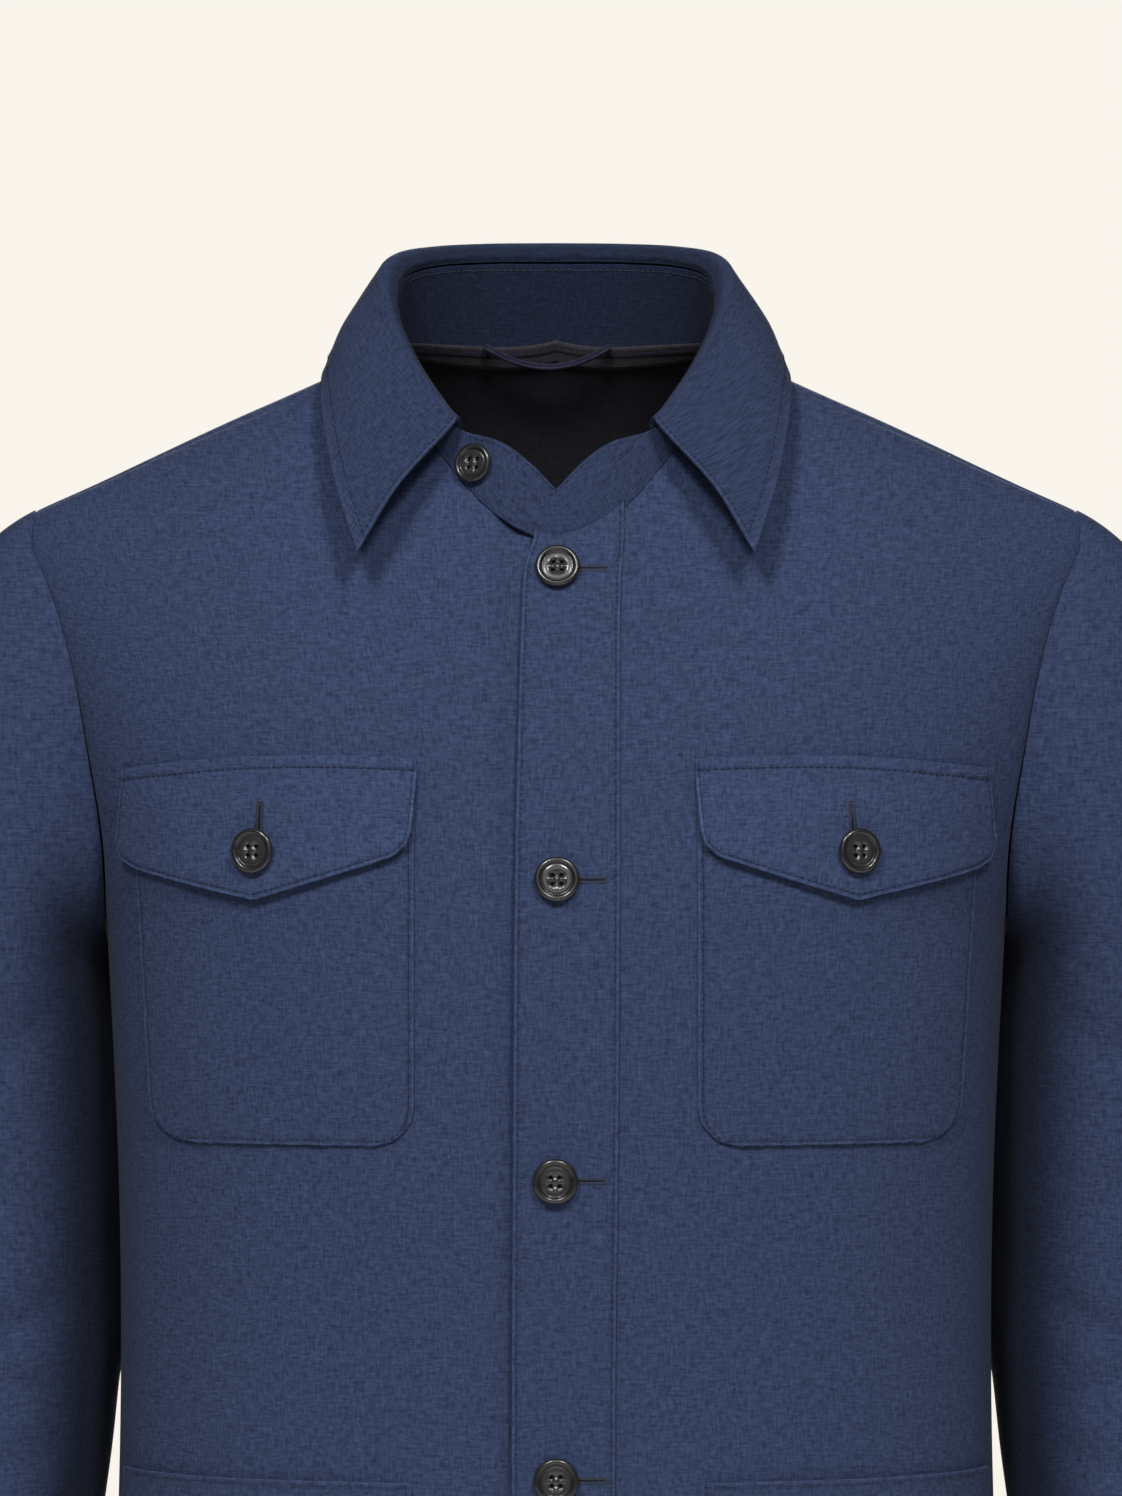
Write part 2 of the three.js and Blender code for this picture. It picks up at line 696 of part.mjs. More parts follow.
const leftPlaces = halfPanel('front', FRONT_COLUMNS, LEFT_FRONT_EDGE_X, leftEdgeTurn);
const leftGrid = leftPlaces.map((row) => row.map((place) => spotOn('front', place)));
const frontSeams = { sides: true, top: true };
jacket.add(wall('front_left', trimSeams(leftGrid, frontSeams), CLOTH, cloth(NAVY)));

const rightPlaces = halfPanel('front', FRONT_COLUMNS, -UNDERLAP_X, rightEdgeTurn);
const rightGrid = rightPlaces.map((row) => row.map((place) => {
  const mirrored = mirrorPlace(place);
  const x = skin('front', mirrored.phi, mirrored.level).x;
  return spotOn('front', mirrored, -underlapSink(x));
}));
jacket.add(wall('front_right', trimSeams(rightGrid, frontSeams), CLOTH, cloth(NAVY)));

const backHalf = halfPanel('back', BACK_HALF_COLUMNS, 0, 90 * DEGREE);
const backPlaces = backHalf.map((row) => [...row.slice(1).reverse().map(mirrorPlace), ...row]);
const backGrid = backPlaces.map((row) => row.map((place) => spotOn('back', place)));
const backSeams = { sides: true, both: true, top: true };
jacket.add(wall('back', trimSeams(backGrid, backSeams), CLOTH, cloth(NAVY)));

// Outward directions of a free grid, from its neighbouring points
function withNormals(points, ring = false) {
  const rows = points.length;
  const columns = points[0].length;
  return points.map((row, r) => row.map((point, c) => {
    const before = ring ? (c + columns - 1) % columns : Math.max(c - 1, 0);
    const after = ring ? (c + 1) % columns : Math.min(c + 1, columns - 1);
    const sideways = points[r][after].clone().sub(points[r][before]);
    const down = points[Math.min(r + 1, rows - 1)][c].clone().sub(points[Math.max(r - 1, 0)][c]);
    return { point, normal: sideways.cross(down).normalize() };
  }));
}

// Sleeves: rings from the armhole to the cuff. A turn of 0 is the outer line, 90 the front.
function armholeRing(turn) {
  const side = turn <= 180 * DEGREE ? 'front' : 'back';
  const place = armholePlace(side, side === 'front' ? turn : 360 * DEGREE - turn);
  const under = (1 - Math.cos(turn)) / 2;
  const away = new THREE.Vector3(
    mix(capLeaves.topOut, capLeaves.underOut, under),
    -capLeaves.forward * Math.sin(turn),
    -mix(capLeaves.topDown, capLeaves.underDown, under),
  ).normalize();
  const point = skin(side, place.phi, place.level);
  point.addScaledVector(away, SEAM_GAP * 1.5);
  const clear = mix(SEAM_GAP, UNDERARM_CLEAR, ease(UNDERARM_STARTS, UNDERARM_FULL, under));
  point.addScaledVector(skinNormal(side, place.phi, place.level), clear);
  return { point, away };
}

function sleeveFoldDepth(z, turn) {
  const degrees = turn / DEGREE;
  let depth = 0;
  for (const fold of sleeveFolds) {
    const across = (degrees - fold.turn) / fold.around;
    const up = (z - fold.z - fold.slope * (degrees - fold.turn)) / fold.tall;
    depth += fold.deep * Math.exp(-(across * across + up * up));
  }
  return depth * ease(FOLD_NONE_TURN, FOLD_FULL_TURN, Math.abs(degrees - 180));
}

function sleeveRing(z, turn) {
  const power = along(sleeveRings, 'z', z, 'power');
  const outX = signedPower(Math.cos(turn), 2 / power);
  const outY = -signedPower(Math.sin(turn), 2 / power);
  const fold = sleeveFoldDepth(z, turn);
  return new THREE.Vector3(
    along(sleeveRings, 'z', z, 'x') + outX * (along(sleeveRings, 'z', z, 'halfX') + fold),
    along(sleeveRings, 'z', z, 'y') + outY * (along(sleeveRings, 'z', z, 'halfY') + fold),
    z,
  );
}

// Turns from one seam to the other, always counted from 0 to a full turn
function turnsBetween(from, to, columns) {
  return [...Array(columns + 1).keys()].map((i) => (
    (mix(from, to, i / columns) + 360) % 360 * DEGREE
  ));
}

function sleevePoints(turns) {
  const rows = [];
  for (let r = 0; r < SLEEVE_CAP_ROWS; r += 1) {
    const t = r / SLEEVE_CAP_ROWS;
    rows.push(turns.map((turn) => {
      const start = armholeRing(turn);
      const end = sleeveRing(SLEEVE_TOP_Z, turn);
      const reach = start.point.distanceTo(end);
      const leave = start.away.multiplyScalar(reach * CAP_FULLNESS);
      const arrive = sleeveRing(SLEEVE_TOP_Z - 1, turn).sub(end).normalize().multiplyScalar(reach);
      const t2 = t * t;
      const t3 = t2 * t;
      return start.point.multiplyScalar(2 * t3 - 3 * t2 + 1)
        .addScaledVector(leave, t3 - 2 * t2 + t)
        .addScaledVector(end, 3 * t2 - 2 * t3)
        .addScaledVector(arrive, t3 - t2);
    }));
  }
  const cuffZ = sleeveRings[sleeveRings.length - 1].z;
  for (let r = 0; r <= SLEEVE_ROWS; r += 1) {
    const z = mix(SLEEVE_TOP_Z, cuffZ, r / SLEEVE_ROWS);
    rows.push(turns.map((turn) => sleeveRing(z, turn)));
  }
  return rows;
}

// Each sleeve is cut in two: the top sleeve goes over the outside from seam to seam, and the
// narrow under sleeve closes it on the inside at the back
const topTurns = turnsBetween(SLEEVE_BACK_SEAM - 360, SLEEVE_FRONT_SEAM, TOP_SLEEVE_COLUMNS);
const underTurns = turnsBetween(SLEEVE_FRONT_SEAM, SLEEVE_BACK_SEAM, UNDER_SLEEVE_COLUMNS);
const sleeveTurns = [...topTurns, ...underTurns.slice(1, -1)];
const sleeveSeams = { sides: true, both: true };

for (const [ending, sign] of [['left', 1], ['right', -1]]) {
  const grid = withNormals(sleevePoints(sleeveTurns), true);
  for (const spot of grid.flat()) {
    spot.normal.negate();
    spot.point.x *= sign;
    spot.normal.x *= sign;
  }
  const top = grid.map((row) => row.slice(0, TOP_SLEEVE_COLUMNS + 1));
  const under = grid.map((row) => [...row.slice(TOP_SLEEVE_COLUMNS), row[0]]);
  jacket.add(wall(`top_sleeve_${ending}`, trimSeams(top, sleeveSeams), CLOTH, cloth(NAVY)));
  jacket.add(wall(`under_sleeve_${ending}`, trimSeams(under, sleeveSeams), CLOTH, cloth(NAVY)));
}

// Collar: where the stand is sewn on, a little above the neckline of the body
function neckSpot(round) {
  const degrees = Math.abs(round);
  const place = degrees <= 90
    ? neckPlace('back', (90 - degrees) * DEGREE)
    : neckPlace('front', (degrees - 90) * DEGREE);
  const point = skin(degrees <= 90 ? 'back' : 'front', place.phi, place.level);
  point.x *= Math.sign(round) || 1;
  return point;
}

function standTopSpot(round) {
  const degrees = Math.abs(round);
  const x = along(standTop, 'round', degrees, 'x') * (Math.sign(round) || 1);
  const y = along(standTop, 'round', degrees, 'y');
  return new THREE.Vector3(x, y, along(standTop, 'round', degrees, 'z'));
}

function rounds(from, to) {
  const steps = Math.round((to - from) / COLLAR_COLUMN_TURN);
  return [...Array(steps + 1).keys()].map((i) => mix(from, to, i / steps));
}

// Direction away from the neck in plan, square to a curve round it
function awayFromNeck(curve, round) {
  const ahead = curve(round + NEIGHBOUR_TURN).sub(curve(round - NEIGHBOUR_TURN));
  return new THREE.Vector3(-ahead.y, ahead.x, 0).normalize();
}

const standPoints = [];
for (let r = 0; r <= STAND_ROWS; r += 1) {
  standPoints.push(rounds(-STAND_RIGHT_END, STAND_LEFT_END).map((round) => {
    const base = neckSpot(round);
    const top = standTopSpot(round);
    const up = top.clone().sub(base).normalize();
    base.addScaledVector(up, STAND_GAP);
    return base.lerp(top, r / STAND_ROWS);
  }));
}
const standGrid = withNormals(standPoints);
standGrid.flat().forEach((spot) => spot.normal.negate());
jacket.add(wall('collar_stand', standGrid, STAND_CLOTH, cloth(NAVY)));

function foldSpot(round) {
  const degrees = Math.abs(round);
  const x = along(collarStations, 'round', degrees, 'foldX') * (Math.sign(round) || 1);
  const y = along(collarStations, 'round', degrees, 'foldY');
  return new THREE.Vector3(x, y, along(collarStations, 'round', degrees, 'foldZ'));
}

function leafLine(round) {
  const degrees = Math.abs(round);
  const fold = foldSpot(round);
  const away = awayFromNeck(foldSpot, round);
  const edge = new THREE.Vector3(
    along(collarStations, 'round', degrees, 'edgeX') * (Math.sign(round) || 1),
    along(collarStations, 'round', degrees, 'edgeY'),
    along(collarStations, 'round', degrees, 'edgeZ'),
  );
  const start = standTopSpot(round).addScaledVector(awayFromNeck(standTopSpot, round), -STAND_CLOTH);
  start.z += LEAF_GAP;
  const rising = start.clone();
  rising.z += (fold.z - start.z) * LEAF_RISE_SHARE;
  const shoulderOfRoll = fold.clone().addScaledVector(away, ROLL_RADIUS);
  shoulderOfRoll.z -= ROLL_RADIUS;
  const middle = shoulderOfRoll.clone().lerp(edge, 0.5);
  middle.addScaledVector(away, LEAF_BULGE);
  middle.z += LEAF_BULGE / 2;
  const knots = [start, rising, fold, shoulderOfRoll, middle, edge];
  return new THREE.CatmullRomCurve3(knots, false, 'centripetal');
}

const leafColumns = rounds(-LEAF_END, LEAF_END).map((round) => leafLine(round));
const leafPoints = leafSteps.map((t) => leafColumns.map((line) => line.getPoint(t)));
jacket.add(wall('collar_leaf', withNormals(leafPoints), COLLAR_CLOTH, cloth(NAVY)));

// What lies on the fronts: rows of places seen from the front, each with its own lift
function overlay(name, rows, sign, thick, material) {
  const grid = rows.map((row) => row.map((spot) => {
    const x = spot.x * sign;
    return spotOn('front', locate('front', x, spot.z), LAY_GAP + spot.lift + thick);
  }));
  return wall(name, grid, thick, material);
}

// Places across a pocket, closer together where the body turns to the side
function acrossPocket(inner, outer, t) {
  const bend = (x) => Math.asin(x / ARMPIT_HALF_WIDTH);
  return ARMPIT_HALF_WIDTH * Math.sin(mix(bend(inner), bend(outer), t));
}

function pocketRows(pocket) {
  const heights = [];
  const straightEnd = pocket.bottom + pocket.corner;
  for (let r = 0; r < POCKET_ROWS; r += 1) {
    heights.push({ z: mix(pocket.top, straightEnd, r / POCKET_ROWS), inset: 0 });
  }
  for (let r = 0; r <= CORNER_ROWS; r += 1) {
    const turn = r / CORNER_ROWS * 90 * DEGREE;
    heights.push({
      z: straightEnd - pocket.corner * Math.sin(turn),
      inset: pocket.corner * (1 - Math.cos(turn)),
    });
  }
  return heights.map(({ z, inset }) => {
    const down = (pocket.top - z) / (pocket.top - pocket.bottom);
    const outer = mix(pocket.outer, pocket.outerLow, down) - inset;
    const inner = pocket.inner + inset;
    const rise = pocket.rise * (1 - down);
    return [...Array(pocket.columns + 1).keys()].map((c) => {
      const t = c / pocket.columns;
      return { x: acrossPocket(inner, outer, t), z: z + rise * t ** POCKET_RISE_POWER, lift: 0 };
    });
  });
}

const flapOverPocket = POCKET_CLOTH + LAY_GAP;
const flapGrid = flapRows.map(({ down, lift }) => flapLines.map((line) => ({
  x: mix(line.topX, line.lowX, down),
  z: mix(line.topZ, line.lowZ, down),
  lift: lift * flapOverPocket,
})));

for (const [ending, sign] of [['left', 1], ['right', -1]]) {
  const pieces = [
    [`chest_pocket_${ending}`, pocketRows(CHEST_POCKET)],
    [`chest_flap_${ending}`, flapGrid],
    [`lower_pocket_${ending}`, pocketRows(LOWER_POCKET)],
  ];
  for (const [name, rows] of pieces) {
    jacket.add(overlay(name, rows, sign, POCKET_CLOTH, cloth(NAVY)));
  }
}

// Placket: a folded band on the left front, from the neckline to the hem
function placketSpot(t, down) {
  const topX = mix(placketEdges[0].left, placketEdges[0].right, t);
  const topTurn = Math.acos(topX / NECK_HALF_WIDTH);
  const neck = neckPlace('front', topTurn);
  const topZ = skin('front', neck.phi, neck.level).z - PLACKET_TOP_DROP;
  const z = mix(topZ, HEM_Z, down);
  const left = along(placketEdges, 'z', Math.min(z, placketEdges[0].z), 'left');
  const right = along(placketEdges, 'z', Math.min(z, placketEdges[0].z), 'right');
  return { x: mix(left, right, t), z, lift: 0 };
}

const placketRows = [];
for (let r = 0; r <= PLACKET_ROWS; r += 1) {
  const down = (r / PLACKET_ROWS) ** PLACKET_ROW_BEND;
  const across = [...Array(PLACKET_COLUMNS + 1).keys()];
  placketRows.push(across.map((c) => placketSpot(c / PLACKET_COLUMNS, down)));
}
jacket.add(overlay('placket', placketRows, 1, CLOTH, cloth(NAVY)));

// Buttons: a rim, a groove and a dish, turned on the button's own axis
function button(name, radius, spot, outward) {
  const profile = [new THREE.Vector2(0, 0)];
  for (const { out, up } of buttonProfile) {
    profile.push(new THREE.Vector2(out * radius, up * BUTTON_THICK));
  }
  profile.push(new THREE.Vector2(0, BUTTON_DISH * BUTTON_THICK));
  const geometry = new THREE.LatheGeometry(profile, BUTTON_SIDES);
  const material = new THREE.MeshStandardMaterial({ color: HORN_GREY, roughness: 0.3, metalness: 0 });
  const mesh = new THREE.Mesh(geometry, material);
  mesh.quaternion.setFromUnitVectors(new THREE.Vector3(0, 1, 0), outward);
  mesh.position.copy(spot).addScaledVector(outward, BUTTON_STAND_OFF);
  mesh.name = name;
  return mesh;
}

placketButtons.forEach(({ x, z }, i) => {
  const { point, normal } = spotOn('front', locate('front', x, z), LAY_GAP + CLOTH);
  jacket.add(button(`placket_button_${i + 1}`, BUTTON_RADIUS, point, normal));
});

for (const [ending, sign] of [['left', 1], ['right', -1]]) {
  const place = locate('front', FLAP_BUTTON.x * sign, FLAP_BUTTON.z);
  const lift = LAY_GAP + POCKET_CLOTH + flapOverPocket * FLAP_BUTTON_LIFT;
  const { point, normal } = spotOn('front', place, lift);
  jacket.add(button(`flap_button_${ending}`, BUTTON_RADIUS, point, normal));
}

const collarButtonRound = -COLLAR_BUTTON.round;
const standFoot = neckSpot(collarButtonRound);
const standHead = standTopSpot(collarButtonRound);
const standSide = standTopSpot(collarButtonRound + NEIGHBOUR_TURN)
  .sub(standTopSpot(collarButtonRound - NEIGHBOUR_TURN));
const standAway = standHead.clone().sub(standFoot).cross(standSide).normalize();
const standSpot = standFoot.lerp(standHead, COLLAR_BUTTON.up);
jacket.add(button('collar_button', COLLAR_BUTTON_RADIUS, standSpot, standAway));

// Upper back lining, a half moon inside the back below the neckline
const liningGrid = [];
for (let r = 0; r <= LINING_ROWS; r += 1) {
  const row = [];
  for (let c = 0; c <= LINING_COLUMNS; c += 1) {
    const turn = mix(LINING_START, 180 - LINING_START, c / LINING_COLUMNS) * DEGREE;
    const x = LINING_HALF_WIDTH * Math.cos(turn);
    const top = neckPlace('back', Math.min(turn, 180 * DEGREE - turn));
    top.phi *= Math.sign(x) || 1;
    const low = locate('back', x, LINING_TOP_Z - LINING_DROP * Math.sin(turn));
    const place = blend(top, low, mix(LINING_TUCK, 1, r / LINING_ROWS));
    row.push(spotOn('back', place, -CLOTH - (r === 0 ? LINING_TOP_GAP : LINING_GAP)));
  }
  liningGrid.push(row);
}
jacket.add(wall('back_lining', liningGrid, LINING_CLOTH, cloth(LINING_GREY)));

// Hanger loop: a thin round tape that sags below the back neck seam
const loopSpots = [...Array(LOOP_STEPS + 1).keys()].map((i) => {
  const t = i / LOOP_STEPS * 2 - 1;
  const x = LOOP_MIDDLE_X + t * LOOP_HALF_SPAN;
  const neckY = NECK_CENTRE_Y + NECK_BACK_DEPTH * Math.sqrt(1 - (x / NECK_HALF_WIDTH) ** 2);
  const inset = mix(LOOP_INSET, LOOP_END_INSET, t ** LOOP_END_POWER);
  return new THREE.Vector3(x, neckY - inset, LOOP_TOP_Z - LOOP_SAG * (1 - t * t));
});
const loopPath = new THREE.CatmullRomCurve3(loopSpots);
const loopSection = new THREE.Shape().absarc(0, 0, LOOP_RADIUS, 0, 2 * Math.PI);
const loopGeometry = new THREE.ExtrudeGeometry(loopSection, {
  steps: LOOP_STEPS,
  extrudePath: loopPath,
  curveSegments: LOOP_SIDES,
  bevelEnabled: false,
});
const loopMesh = new THREE.Mesh(loopGeometry, cloth(LINING_GREY));
loopMesh.name = 'hanger_loop';
jacket.add(loopMesh);

export default jacket;
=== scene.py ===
import functools
import math

import bmesh
import bpy
from mathutils import Matrix, Vector, noise


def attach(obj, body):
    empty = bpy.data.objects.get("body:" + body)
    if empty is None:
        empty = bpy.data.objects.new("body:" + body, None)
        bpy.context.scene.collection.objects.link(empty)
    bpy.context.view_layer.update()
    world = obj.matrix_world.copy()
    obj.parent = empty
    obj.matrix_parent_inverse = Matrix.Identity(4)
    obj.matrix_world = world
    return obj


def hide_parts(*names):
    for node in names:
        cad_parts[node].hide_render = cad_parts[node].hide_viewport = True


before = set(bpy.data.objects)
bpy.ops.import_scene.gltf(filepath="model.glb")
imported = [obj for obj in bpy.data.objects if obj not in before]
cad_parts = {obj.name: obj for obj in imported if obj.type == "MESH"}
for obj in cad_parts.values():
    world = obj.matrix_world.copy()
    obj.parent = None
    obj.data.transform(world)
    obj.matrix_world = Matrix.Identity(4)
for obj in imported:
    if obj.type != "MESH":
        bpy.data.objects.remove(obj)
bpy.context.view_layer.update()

# Camera and studio
# The jacket is seen square from the front, level with the middle of the picture,
# from far enough away that the sides show no perspective. A pale floor lies below.

PHOTO_HEIGHT = 1496
VIEW_DISTANCE = 3.6
METRES_PER_PIXEL = 0.000445
SENSOR = 36.0
CAMERA_X = 0.0022
CAMERA_Z = -0.168
FLOOR_Z = -1.45

camera_data = bpy.data.cameras.new("studio_camera")
camera_data.sensor_width = SENSOR
camera_data.lens = SENSOR * VIEW_DISTANCE / (PHOTO_HEIGHT * METRES_PER_PIXEL)
camera_data.clip_end = 100.0
camera = bpy.data.objects.new("studio_camera", camera_data)
camera.location = (CAMERA_X, -VIEW_DISTANCE, CAMERA_Z)
camera.rotation_euler = (math.radians(90.0), 0.0, 0.0)
bpy.context.scene.collection.objects.link(camera)
bpy.context.scene.camera = camera
bpy.context.scene.view_settings.view_transform = "Standard"

floor_mesh = bmesh.new()
bmesh.ops.create_grid(floor_mesh, x_segments=1, y_segments=1, size=3.0)
bmesh.ops.translate(floor_mesh, verts=floor_mesh.verts, vec=(0.0, 0.0, FLOOR_Z))
floor_data = bpy.data.meshes.new("studio_floor")
floor_mesh.to_mesh(floor_data)
floor_mesh.free()
studio_floor = bpy.data.objects.new("studio_floor", floor_data)
bpy.context.scene.collection.objects.link(studio_floor)
floor_material = bpy.data.materials.new("studio_floor")
floor_material.use_nodes = True
floor_shader = floor_material.node_tree.nodes["Principled BSDF"]
floor_shader.inputs["Base Color"].default_value = (0.94, 0.91, 0.86, 1.0)
floor_shader.inputs["Roughness"].default_value = 0.9
floor_data.materials.append(floor_material)

BACKDROP_COLOUR = (0.947, 0.905, 0.840, 1.0)
AMBIENT_STRENGTH = 0.055
world = bpy.data.worlds.new("studio")
world.use_nodes = True
bpy.context.scene.world = world
world_nodes = world.node_tree.nodes
world_links = world.node_tree.links
world_nodes.clear()
seen_sky = world_nodes.new("ShaderNodeBackground")
seen_sky.inputs["Color"].default_value = BACKDROP_COLOUR
seen_sky.inputs["Strength"].default_value = 1.0
lighting_sky = world_nodes.new("ShaderNodeBackground")
lighting_sky.inputs["Color"].default_value = (1.0, 0.98, 0.95, 1.0)
lighting_sky.inputs["Strength"].default_value = AMBIENT_STRENGTH
light_path = world_nodes.new("ShaderNodeLightPath")
sky_mix = world_nodes.new("ShaderNodeMixShader")
world_output = world_nodes.new("ShaderNodeOutputWorld")
world_links.new(light_path.outputs["Is Camera Ray"], sky_mix.inputs[0])
world_links.new(lighting_sky.outputs[0], sky_mix.inputs[1])
world_links.new(seen_sky.outputs[0], sky_mix.inputs[2])
world_links.new(sky_mix.outputs[0], world_output.inputs["Surface"])

SOFTBOXES = (
    {"name": "key_left", "place": (-1.0, -2.8, 2.4), "size": 0.7, "watts": 75.0},
    {"name": "key_right", "place": (1.0, -2.8, 2.4), "size": 0.7, "watts": 68.0},
    {"name": "front", "place": (0.0, -3.8, 0.4), "size": 1.2, "watts": 8.0},
    {"name": "back", "place": (0.0, 3.6, 0.9), "size": 1.2, "watts": 120.0},
)
LIT_CENTRE = Vector((0.0, 0.0, -0.3))
for softbox in SOFTBOXES:
    light = bpy.data.lights.new(softbox["name"], "AREA")
    light.shape = "SQUARE"
    light.size = softbox["size"]
    light.energy = softbox["watts"]
    lamp = bpy.data.objects.new(softbox["name"], light)
    lamp.location = softbox["place"]
    lamp.rotation_euler = (LIT_CENTRE - lamp.location).to_track_quat("-Z", "Y").to_euler()
    bpy.context.scene.collection.objects.link(lamp)

# Linen
# Every outer piece is one mid-weight navy linen in plain weave. Uneven slubby threads
# run up and across the cut, which makes a fine dark and light crosshatch.

NAVY_DARK = (0.0190, 0.0300, 0.0740, 1.0)
NAVY_LIGHT = (0.0560, 0.0800, 0.1680, 1.0)
THREAD_NAVY = (0.0120, 0.0190, 0.0450, 1.0)
THREAD_WIDTH = 0.0010
SLUB_LENGTH = 0.0065
STREAK_CONTRAST = 1.3
MOTTLE_SCALE = 420.0
MOTTLE_CONTRAST = 1.3
MOTTLE_SHIFT = -0.15
WEAVE_RELIEF = 0.0006


def group_socket(group, name, direction, kind="NodeSocketFloat", value=None):
    socket = group.interface.new_socket(name=name, in_out=direction, socket_type=kind)
    if value is not None:
        socket.default_value = value


def noise_node(nodes, links, vector, detail):
    texture = nodes.new("ShaderNodeTexNoise")
    texture.noise_dimensions = "3D"
    texture.inputs["Scale"].default_value = 1.0
    texture.inputs["Detail"].default_value = detail
    texture.inputs["Roughness"].default_value = 0.6
    links.new(vector, texture.inputs["Vector"])
    return texture.outputs["Fac"]


def math_node(nodes, links, operation, first, second):
    node = nodes.new("ShaderNodeMath")
    node.operation = operation
    for socket, value in zip(node.inputs, (first, second)):
        if isinstance(value, (int, float)):
            socket.default_value = value
        else:
            links.new(value, socket)
    return node.outputs[0]


def build_weave_group():
    group = bpy.data.node_groups.new("plain_weave", "ShaderNodeTree")
    group_socket(group, "Threads", "INPUT", "NodeSocketVector")
    group_socket(group, "Thread Width", "INPUT", value=THREAD_WIDTH)
    group_socket(group, "Slub Length", "INPUT", value=SLUB_LENGTH)
    group_socket(group, "Shade", "OUTPUT")
    group_socket(group, "Height", "OUTPUT")
    nodes = group.nodes
    links = group.links
    given = nodes.new("NodeGroupInput")
    result = nodes.new("NodeGroupOutput")
    split = nodes.new("ShaderNodeSeparateXYZ")
    links.new(given.outputs["Threads"], split.inputs[0])
    width = given.outputs["Thread Width"]
    slub = given.outputs["Slub Length"]
    streaks = []
    for thin, lengthwise, layer in (("X", "Y", 0.0), ("Y", "X", 40.0)):
        joined = nodes.new("ShaderNodeCombineXYZ")
        links.new(math_node(nodes, links, "DIVIDE", split.outputs[thin], width), joined.inputs["X"])
        links.new(math_node(nodes, links, "DIVIDE", split.outputs[lengthwise], slub), joined.inputs["Y"])
        joined.inputs["Z"].default_value = layer
        streaks.append(noise_node(nodes, links, joined.outputs[0], 2.0))
    broad = nodes.new("ShaderNodeVectorMath")
    broad.operation = "SCALE"
    broad.inputs["Scale"].default_value = MOTTLE_SCALE
    links.new(given.outputs["Threads"], broad.inputs[0])
    mottle = noise_node(nodes, links, broad.outputs[0], 4.0)
    threads = math_node(nodes, links, "ADD", streaks[0], streaks[1])
    centred = math_node(nodes, links, "SUBTRACT", threads, 1.0)
    contrast = math_node(nodes, links, "MULTIPLY", centred, STREAK_CONTRAST)
    cloudy = math_node(nodes, links, "MULTIPLY_ADD", mottle, MOTTLE_CONTRAST)
    cloudy.node.inputs[2].default_value = MOTTLE_SHIFT
    shade = math_node(nodes, links, "ADD", contrast, cloudy)
    links.new(shade, result.inputs["Shade"])
    links.new(threads, result.inputs["Height"])
    return group


WEAVE_GROUP = build_weave_group()


# The tone attribute scales the base colour. It carries painted shade (body sides, inner sleeves, collar,
# button undersides) and painted highlights (turned edges), besides the lighter dished centre of the horn
# buttons.
def build_tone_group():
    group = bpy.data.node_groups.new("own_tone_painted_shade_and_highlight", "ShaderNodeTree")
    group_socket(group, "Colour", "INPUT", "NodeSocketColor")
    group_socket(group, "Colour", "OUTPUT", "NodeSocketColor")
    given = group.nodes.new("NodeGroupInput")
    result = group.nodes.new("NodeGroupOutput")
    painted_tone = group.nodes.new("ShaderNodeAttribute")
    painted_tone.attribute_name = "tone"
    toned = group.nodes.new("ShaderNodeVectorMath")
    toned.operation = "SCALE"
    group.links.new(given.outputs["Colour"], toned.inputs[0])
    group.links.new(painted_tone.outputs["Fac"], toned.inputs["Scale"])
    group.links.new(toned.outputs[0], result.inputs["Colour"])
    return group


TONE_GROUP = build_tone_group()


def woven_material(name, dark, light, sheen, bump, rough):
    material = bpy.data.materials.new(name)
    material.use_nodes = True
    nodes = material.node_tree.nodes
    links = material.node_tree.links
    shader = nodes["Principled BSDF"]
    shader.inputs["Roughness"].default_value = rough
    shader.inputs["Specular IOR Level"].default_value = 0.15
    shader.inputs["Sheen Weight"].default_value = sheen
    shader.inputs["Sheen Roughness"].default_value = 0.5
    threads = nodes.new("ShaderNodeUVMap")
    threads.uv_map = "threads"
    weave = nodes.new("ShaderNodeGroup")
    weave.node_tree = WEAVE_GROUP
    weave.inputs["Thread Width"].default_value = THREAD_WIDTH
    weave.inputs["Slub Length"].default_value = SLUB_LENGTH
    links.new(threads.outputs[0], weave.inputs["Threads"])
    tint = nodes.new("ShaderNodeMix")
    tint.data_type = "RGBA"
    tint.inputs[6].default_value = dark
    tint.inputs[7].default_value = light
    links.new(weave.outputs["Shade"], tint.inputs[0])
    toned = nodes.new("ShaderNodeGroup")
    toned.node_tree = TONE_GROUP
    links.new(tint.outputs[2], toned.inputs["Colour"])
    links.new(toned.outputs["Colour"], shader.inputs["Base Color"])
    relief = nodes.new("ShaderNodeBump")
    relief.inputs["Strength"].default_value = bump
    relief.inputs["Distance"].default_value = WEAVE_RELIEF
    links.new(weave.outputs["Height"], relief.inputs["Height"])
    links.new(relief.outputs[0], shader.inputs["Normal"])
    return material


LINEN = woven_material("navy_linen", NAVY_DARK, NAVY_LIGHT, 0.03, 0.5, 0.9)


def plain_material(name, colour, rough, specular):
    material = bpy.data.materials.new(name)
    material.use_nodes = True
    shader = material.node_tree.nodes["Principled BSDF"]
    shader.inputs["Base Color"].default_value = colour
    shader.inputs["Roughness"].default_value = rough
    shader.inputs["Specular IOR Level"].default_value = specular
    return material


THREAD = plain_material("navy_thread", THREAD_NAVY, 0.7, 0.2)

# Body form
# The jacket hangs filled out as if worn. Level sections below the armpit and a rounded
# chest block above it give one smooth skin, and every piece is cut from it or laid on it.

ARMPIT_Z = -0.245
HEM_Z = -0.752
ARMPIT_HALF = 0.200


def named_rows(columns, *rows):
    return [dict(zip(columns.split(), row)) for row in rows]


